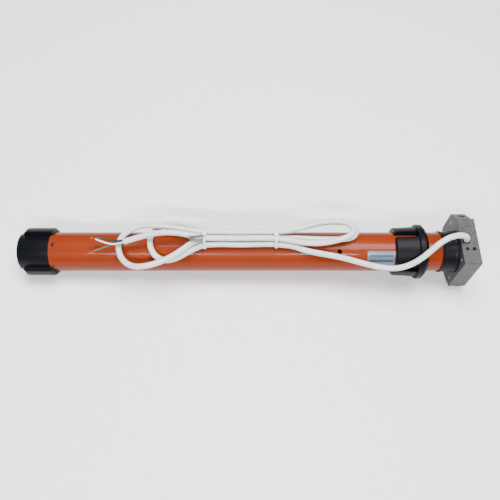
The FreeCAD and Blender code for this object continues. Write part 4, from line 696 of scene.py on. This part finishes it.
class MOTOR_OT_cable(bpy.types.Operator):
    """Lays the cable from the head to its hank on the tube, with its cores, bare ends, ties and grommet"""

    bl_idname = "motor.cable"
    bl_label = "Cable and cores"

    def execute(self, context):
        sizes = context.scene.motor_cable
        radius, core_radius = sizes.diameter / 2, sizes.core_diameter / 2
        cable = tube("cable", [CABLE_ROUTE], radius, need_finish("white_cable_pvc"), steps=10, around=8)
        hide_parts("cable_lead", "cable_hank")
        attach(cable, "casing")
        pieces = [self.sheath_end(radius)]
        for name, route in CORE_ROUTES.items():
            finish = need_finish(CORE_FINISHES[name])
            core = tube(f"insulated_{name}", [route], core_radius, finish, steps=12, around=4)
            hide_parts(name)
            pieces.append(core)
        strands = self.bare_strands(core_radius, sizes.strand_diameter / 2)
        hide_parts("core_tips")
        ties = self.ties(radius, sizes.tie_width)
        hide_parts("cable_ties")
        grommet = self.grommet(radius)
        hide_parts("cable_grommet")
        pieces += [strands, ties, self.twisted_ends(), grommet]
        for piece in pieces:
            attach(piece, "casing")
        return {"FINISHED"}

    def sheath_end(self, radius):
        """The cut end of the sheath: a profile of a rounded rim and a sunk filler, turned about the line.

        The profile is in cable radii, and a hair smaller than the cable, so that it lies inside it."""
        hair = 0.999
        end, before = np.array(CABLE_ROUTE[-1]), np.array(CABLE_ROUTE[-2])
        wall = [(-2.0, 0.0), (-2.0, 0.9), (-0.1, 1.0)]
        rim = [(0.06, 0.985), (0.1, 0.93), (0.06, 0.80)]
        filler = [(-0.02, 0.76), (-0.06, 0.6), (0.0, 0.0)]
        profile = np.array(wall + rim + filler) * radius * hair
        finish = need_finish("white_cable_pvc")
        return surface("sheath_end", [(turned(profile, end, end - before), False)], finish)

    def bare_strands(self, core, wire):
        """Seven strands for each bare end: one straight, and six on helices round it that close up."""
        lay, twist, close_up = 0.62, 2.2, 0.25
        step = np.linspace(0, 1, 9)
        lean = (lay * core * (1 - close_up * step))[:, None]
        routes = []
        for name in BARE_CORES:
            end, before = np.array(CORE_ROUTES[name][-1]), np.array(CORE_ROUTES[name][-2])
            along, side, up = frame_along(end - before)
            line = end + (step[:, None] * BARE_LENGTH - BARE_SUNK) * along
            routes.append(line)
            for strand in range(6):
                angle = (math.radians(60 * strand) + twist * step)[:, None]
                routes.append(line + lean * (np.cos(angle) * side + np.sin(angle) * up))
        return tube("bare_strands", routes, wire, need_finish("bare_copper"), steps=4, around=2)

    def ties(self, radius, width):
        """Each tie is a flat band carried round its strands, with a lock and a cut tail.

        The band's line is the curve at one distance outside the outermost strands: for each direction, the
        strand that lies furthest that way, plus that distance. Its section is a rounded rectangle, from
        powers of a cosine and a sine."""
        clearance, half_thickness, roundness = 0.00085, 0.0005, 0.35
        lock_back, tail_back, lock_rise = 0.0008, -0.0020, 0.0012
        around, edge = circle(144), circle(16)
        outward = np.stack([np.cos(around), np.sin(around)], axis=1)
        across = squarer(np.cos(edge), roundness) * width / 2
        thick = squarer(np.sin(edge), roundness) * half_thickness
        grids = []
        for place, strands in TIES:
            centres = np.array(strands)
            line = centres[np.argmax(outward @ centres.T, axis=1)] + (radius + clearance) * outward
            points = np.empty((around.size, edge.size, 3))
            points[..., 0] = place + across
            points[..., 1:] = line[:, None] + thick[None, :, None] * outward[:, None]
            level = line[:, 1].max() + lock_rise
            grids.append((points, True))
            grids.append((self.lock(place, lock_back, level), False))
            grids.append((self.tail(place, tail_back, level, width), False))
        return surface("nylon_ties", grids, need_finish("natural_nylon_tie"))

    def lock(self, place, back, up):
        """The tie's lock: a rounded box, from powers of sines and cosines of two angles, sunk at its slot.

        The slot is a bell that falls with the sixth power along the axis and the fourth power across it."""
        half_width, half_height, roundness = 0.0022, 0.0016, 0.3
        slot_half_length, slot_half_width, slot_depth = 0.0014, 0.0005, 0.0011
        rise, angle = np.linspace(-np.pi / 2, np.pi / 2, 21)[:, None], circle(40)
        reach = half_width * squarer(np.cos(rise), roundness)
        x = reach * squarer(np.cos(angle), roundness)
        y = reach * squarer(np.sin(angle), roundness)
        z = half_height * squarer(np.sin(rise), roundness) + 0 * angle
        slot = np.exp(-((x / slot_half_length) ** 6) - (y / slot_half_width) ** 4) * (z > 0)
        return np.stack([place + x, back + y, up + z - slot_depth * slot], axis=-1)

    def tail(self, place, back, up, width):
        """The tie's cut tail: a thin strip that leaves the lock to the front and droops in an arc.

        Its section is a rounded rectangle, which shrinks to close at both ends."""
        reach, bend, droop, roundness = 0.0052, 1.9, 0.9, 0.4
        width_share, half_thickness, closed = 0.46, 0.00045, 0.02
        angle, edge = bend * np.linspace(0, 1, 14)[:, None], circle(12)
        across = squarer(np.cos(edge), roundness) * width * width_share
        thick = squarer(np.sin(edge), roundness) * half_thickness
        size = np.ones_like(angle)
        size[0] = size[-1] = closed
        x = place + across * size
        y = back - reach * np.sin(angle) - (thick * size) * np.sin(angle)
        z = up - reach * (1 - np.cos(angle)) * droop + (thick * size) * np.cos(angle)
        return np.stack([x, y, z], axis=-1)

    def twisted_ends(self):
        """The wire ends at the left tie: two wound round each other, and two that stay apart, lower down.

        The wound ones are helices about one sloping line, half a turn apart, which open at their tips."""
        wire, lean, turns, tip, tip_lean = 0.0007, 0.0008, 3.5, 0.15, 0.0011
        start, end = np.array(TWIST_LINE)
        _, side, up = frame_along(end - start)
        step = np.linspace(0, 1, 26)[:, None]
        opening = lean + tip_lean * np.clip(step - (1 - tip), 0, 1) / tip
        routes = []
        for half_turn in (0, np.pi):
            angle = 2 * np.pi * turns * step + half_turn
            round_it = np.cos(angle) * side + np.sin(angle) * up
            routes.append(start + (end - start) * step + opening * round_it)
        routes += LOOSE_ENDS
        return tube("twisted_tie_ends", routes, wire, need_finish("covered_tie_wire"), steps=5, around=3)

    def grommet(self, radius):
        """A rubber sleeve: rings that run from a rounded rectangle outside to the cable's circle inside.

        On the rectangle, the sixth powers of both distances over their halves add up to one. The circle is
        a hair wider than the cable."""
        hair = 1.001
        low, high = GROMMET_LEVELS
        half_x, half_y = GROMMET_HALF
        # Each ring's share of the way in from the slot's wall to the cable, and its level.
        outside = [(0.0, low), (0.0, high - 0.0003), (0.06, high), (0.6, high)]
        lip = [(0.8, high + 0.0006), (0.95, high + 0.0008), (1.0, high + 0.0005), (1.0, low)]
        share, level = np.array(outside + lip).T[..., None]
        angle = circle(72)
        box = (np.abs(np.cos(angle) / half_x) ** 6 + np.abs(np.sin(angle) / half_y) ** 6) ** (-1 / 6)
        reach = box * (1 - share) + radius * hair * share
        x = GROMMET_MIDDLE[0] + reach * np.cos(angle)
        y = GROMMET_MIDDLE[1] + reach * np.sin(angle)
        points = np.stack([x, y, level + 0 * reach], axis=-1)
        return surface("rubber_grommet", [(points, True)], need_finish("black_rubber"))


class MOTOR_OT_screws(bpy.types.Operator):
    """Puts cross-recess screws in the end of the tube and in the head's inner face"""

    bl_idname = "motor.screws"
    bl_label = "Screws"

    def execute(self, context):
        # Each cross is turned by its own amount, as screws stop where they bite.
        tube_turn, head_turn, turn_per_metre = 0.5, 0.3, 9
        tube_heads = []
        for turn in TUBE_SCREW_TURNS:
            way = np.array([0.0, -math.sin(turn), math.cos(turn)])
            seat = np.array([TUBE_SCREW_LINE, 0.0, 0.0]) + TUBE_SCREW_SEAT * way
            tube_heads.append((cross_head(*TUBE_SCREW_SIZE, seat, way, tube_turn + turn), False))
        head_heads = []
        for y, z in HEAD_SCREWS:
            seat, way, turn = (HEAD_SCREW_LINE, y, z), (-1.0, 0.0, 0.0), head_turn + turn_per_metre * y
            head_heads.append((cross_head(*HEAD_SCREW_SIZE, seat, way, turn), False))
        tube_screws = surface("tube_screw_heads", tube_heads, need_finish("blackened_steel"))
        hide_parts("tube_screws")
        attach(tube_screws, "casing")
        head_screws = surface("head_screw_heads", head_heads, need_finish("zinc_plated_steel"))
        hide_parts("head_screws")
        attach(head_screws, "casing")
        return {"FINISHED"}


class MOTOR_OT_studio(bpy.types.Operator):
    """Sets the pale floor, the soft lights and the camera at the photograph's angle"""

    bl_idname = "motor.studio"
    bl_label = "Studio"

    def execute(self, context):
        scene = context.scene
        studio = scene.motor_studio
        self.floor(studio.floor)
        self.world(scene)
        self.softbox("strip_softbox", studio.strip_power)
        self.softbox("overhead_softbox", studio.fill_power)
        self.camera(scene)
        return {"FINISHED"}

    def floor(self, colour):
        """A plane through the head's lowest edge and the wheel's lowest lug, on which the motor lies."""
        head_low, wheel_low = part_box("head_housing")[0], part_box("drive_wheel")[0]
        right, left = head_low[0], wheel_low[0] + LUG_INSET
        slope = (head_low[2] - wheel_low[2]) / (right - left)
        middle = (right + left) / 2
        level = (head_low[2] + wheel_low[2]) / 2 - FLOOR_GAP
        corners = [
            (middle + x * FLOOR_REACH, y * FLOOR_REACH, level + slope * x * FLOOR_REACH)
            for x, y in ((-1, -1), (1, -1), (1, 1), (-1, 1))
        ]
        mesh = bpy.data.meshes.new("floor")
        mesh.from_pydata(corners, [], [(0, 1, 2, 3)])
        # Seamless paper: matt, very faintly fibrous.
        paper = shade(colour, 0.985), shade(colour, 1.01)
        worked_finish("white_seamless_paper", *paper, rough=(0.85, 0.95), grain=12, height=0.01)
        mesh.materials.append(need_finish("white_seamless_paper"))
        floor = bpy.data.objects.new("floor", mesh)
        bpy.context.scene.collection.objects.link(floor)

    def world(self, scene):
        """A faint white light from all round."""
        world = bpy.data.worlds.new("pale_studio")
        world.use_nodes = True
        backdrop = world.node_tree.nodes["Background"]
        backdrop.inputs["Color"].default_value = (1.0, 1.0, 1.0, 1.0)
        backdrop.inputs["Strength"].default_value = WORLD_STRENGTH
        scene.world = world

    def softbox(self, name, power):
        """A rectangular lamp at its place, turned to face its target."""
        place, target, size = SOFTBOXES[name]
        light = bpy.data.lights.new(name, "AREA")
        light.shape = "RECTANGLE"
        light.size, light.size_y = size
        light.energy = power
        lamp = bpy.data.objects.new(name, light)
        lamp.location = place
        lamp.rotation_euler = (Vector(target) - Vector(place)).to_track_quat("-Z", "Y").to_euler()
        bpy.context.scene.collection.objects.link(lamp)

    def camera(self, scene):
        """The photograph's camera, with its middle of the picture moved by the shifts."""
        data = bpy.data.cameras.new("camera")
        data.sensor_width = 36.0
        data.lens = CAMERA_LENS
        data.shift_x, data.shift_y = CAMERA_SHIFT
        data.clip_start = 0.01
        camera = bpy.data.objects.new("camera", data)
        front, up = math.cos(CAMERA_RISE), math.sin(CAMERA_RISE)
        camera.location = (CAMERA_PLACE, -CAMERA_DISTANCE * front, CAMERA_DISTANCE * up)
        camera.rotation_euler = (math.radians(90) - CAMERA_RISE, 0.0, 0.0)
        scene.collection.objects.link(camera)
        scene.camera = camera


class MOTOR_PT_pieces(bpy.types.Panel):
    """The pieces that dress the motor, in the order in which they are made"""

    bl_idname = "MOTOR_PT_pieces"
    bl_label = "Awning motor"
    bl_space_type = "VIEW_3D"
    bl_region_type = "UI"
    bl_category = "Motor"

    def draw(self, context):
        scene = context.scene
        for settings in (scene.motor_cable, scene.motor_finishes, scene.motor_studio):
            for name in settings.__annotations__:
                self.layout.prop(settings, name)
        for operator in OPERATORS:
            self.layout.operator(operator.bl_idname)


OPERATORS = (MOTOR_OT_finishes, MOTOR_OT_cable, MOTOR_OT_screws, MOTOR_OT_studio)
CLASSES = (CableSettings, FinishSettings, StudioSettings, *OPERATORS, MOTOR_PT_pieces)


def register():
    for each in CLASSES:
        bpy.utils.register_class(each)
    bpy.types.Scene.motor_cable = bpy.props.PointerProperty(type=CableSettings)
    bpy.types.Scene.motor_finishes = bpy.props.PointerProperty(type=FinishSettings)
    bpy.types.Scene.motor_studio = bpy.props.PointerProperty(type=StudioSettings)


def unregister():
    del bpy.types.Scene.motor_studio
    del bpy.types.Scene.motor_finishes
    del bpy.types.Scene.motor_cable
    for each in reversed(CLASSES):
        bpy.utils.unregister_class(each)


def main():
    register()
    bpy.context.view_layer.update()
    bpy.ops.motor.finishes()
    bpy.ops.motor.cable()
    bpy.ops.motor.screws()
    bpy.ops.motor.studio()


if __name__ == "__main__":
    main()
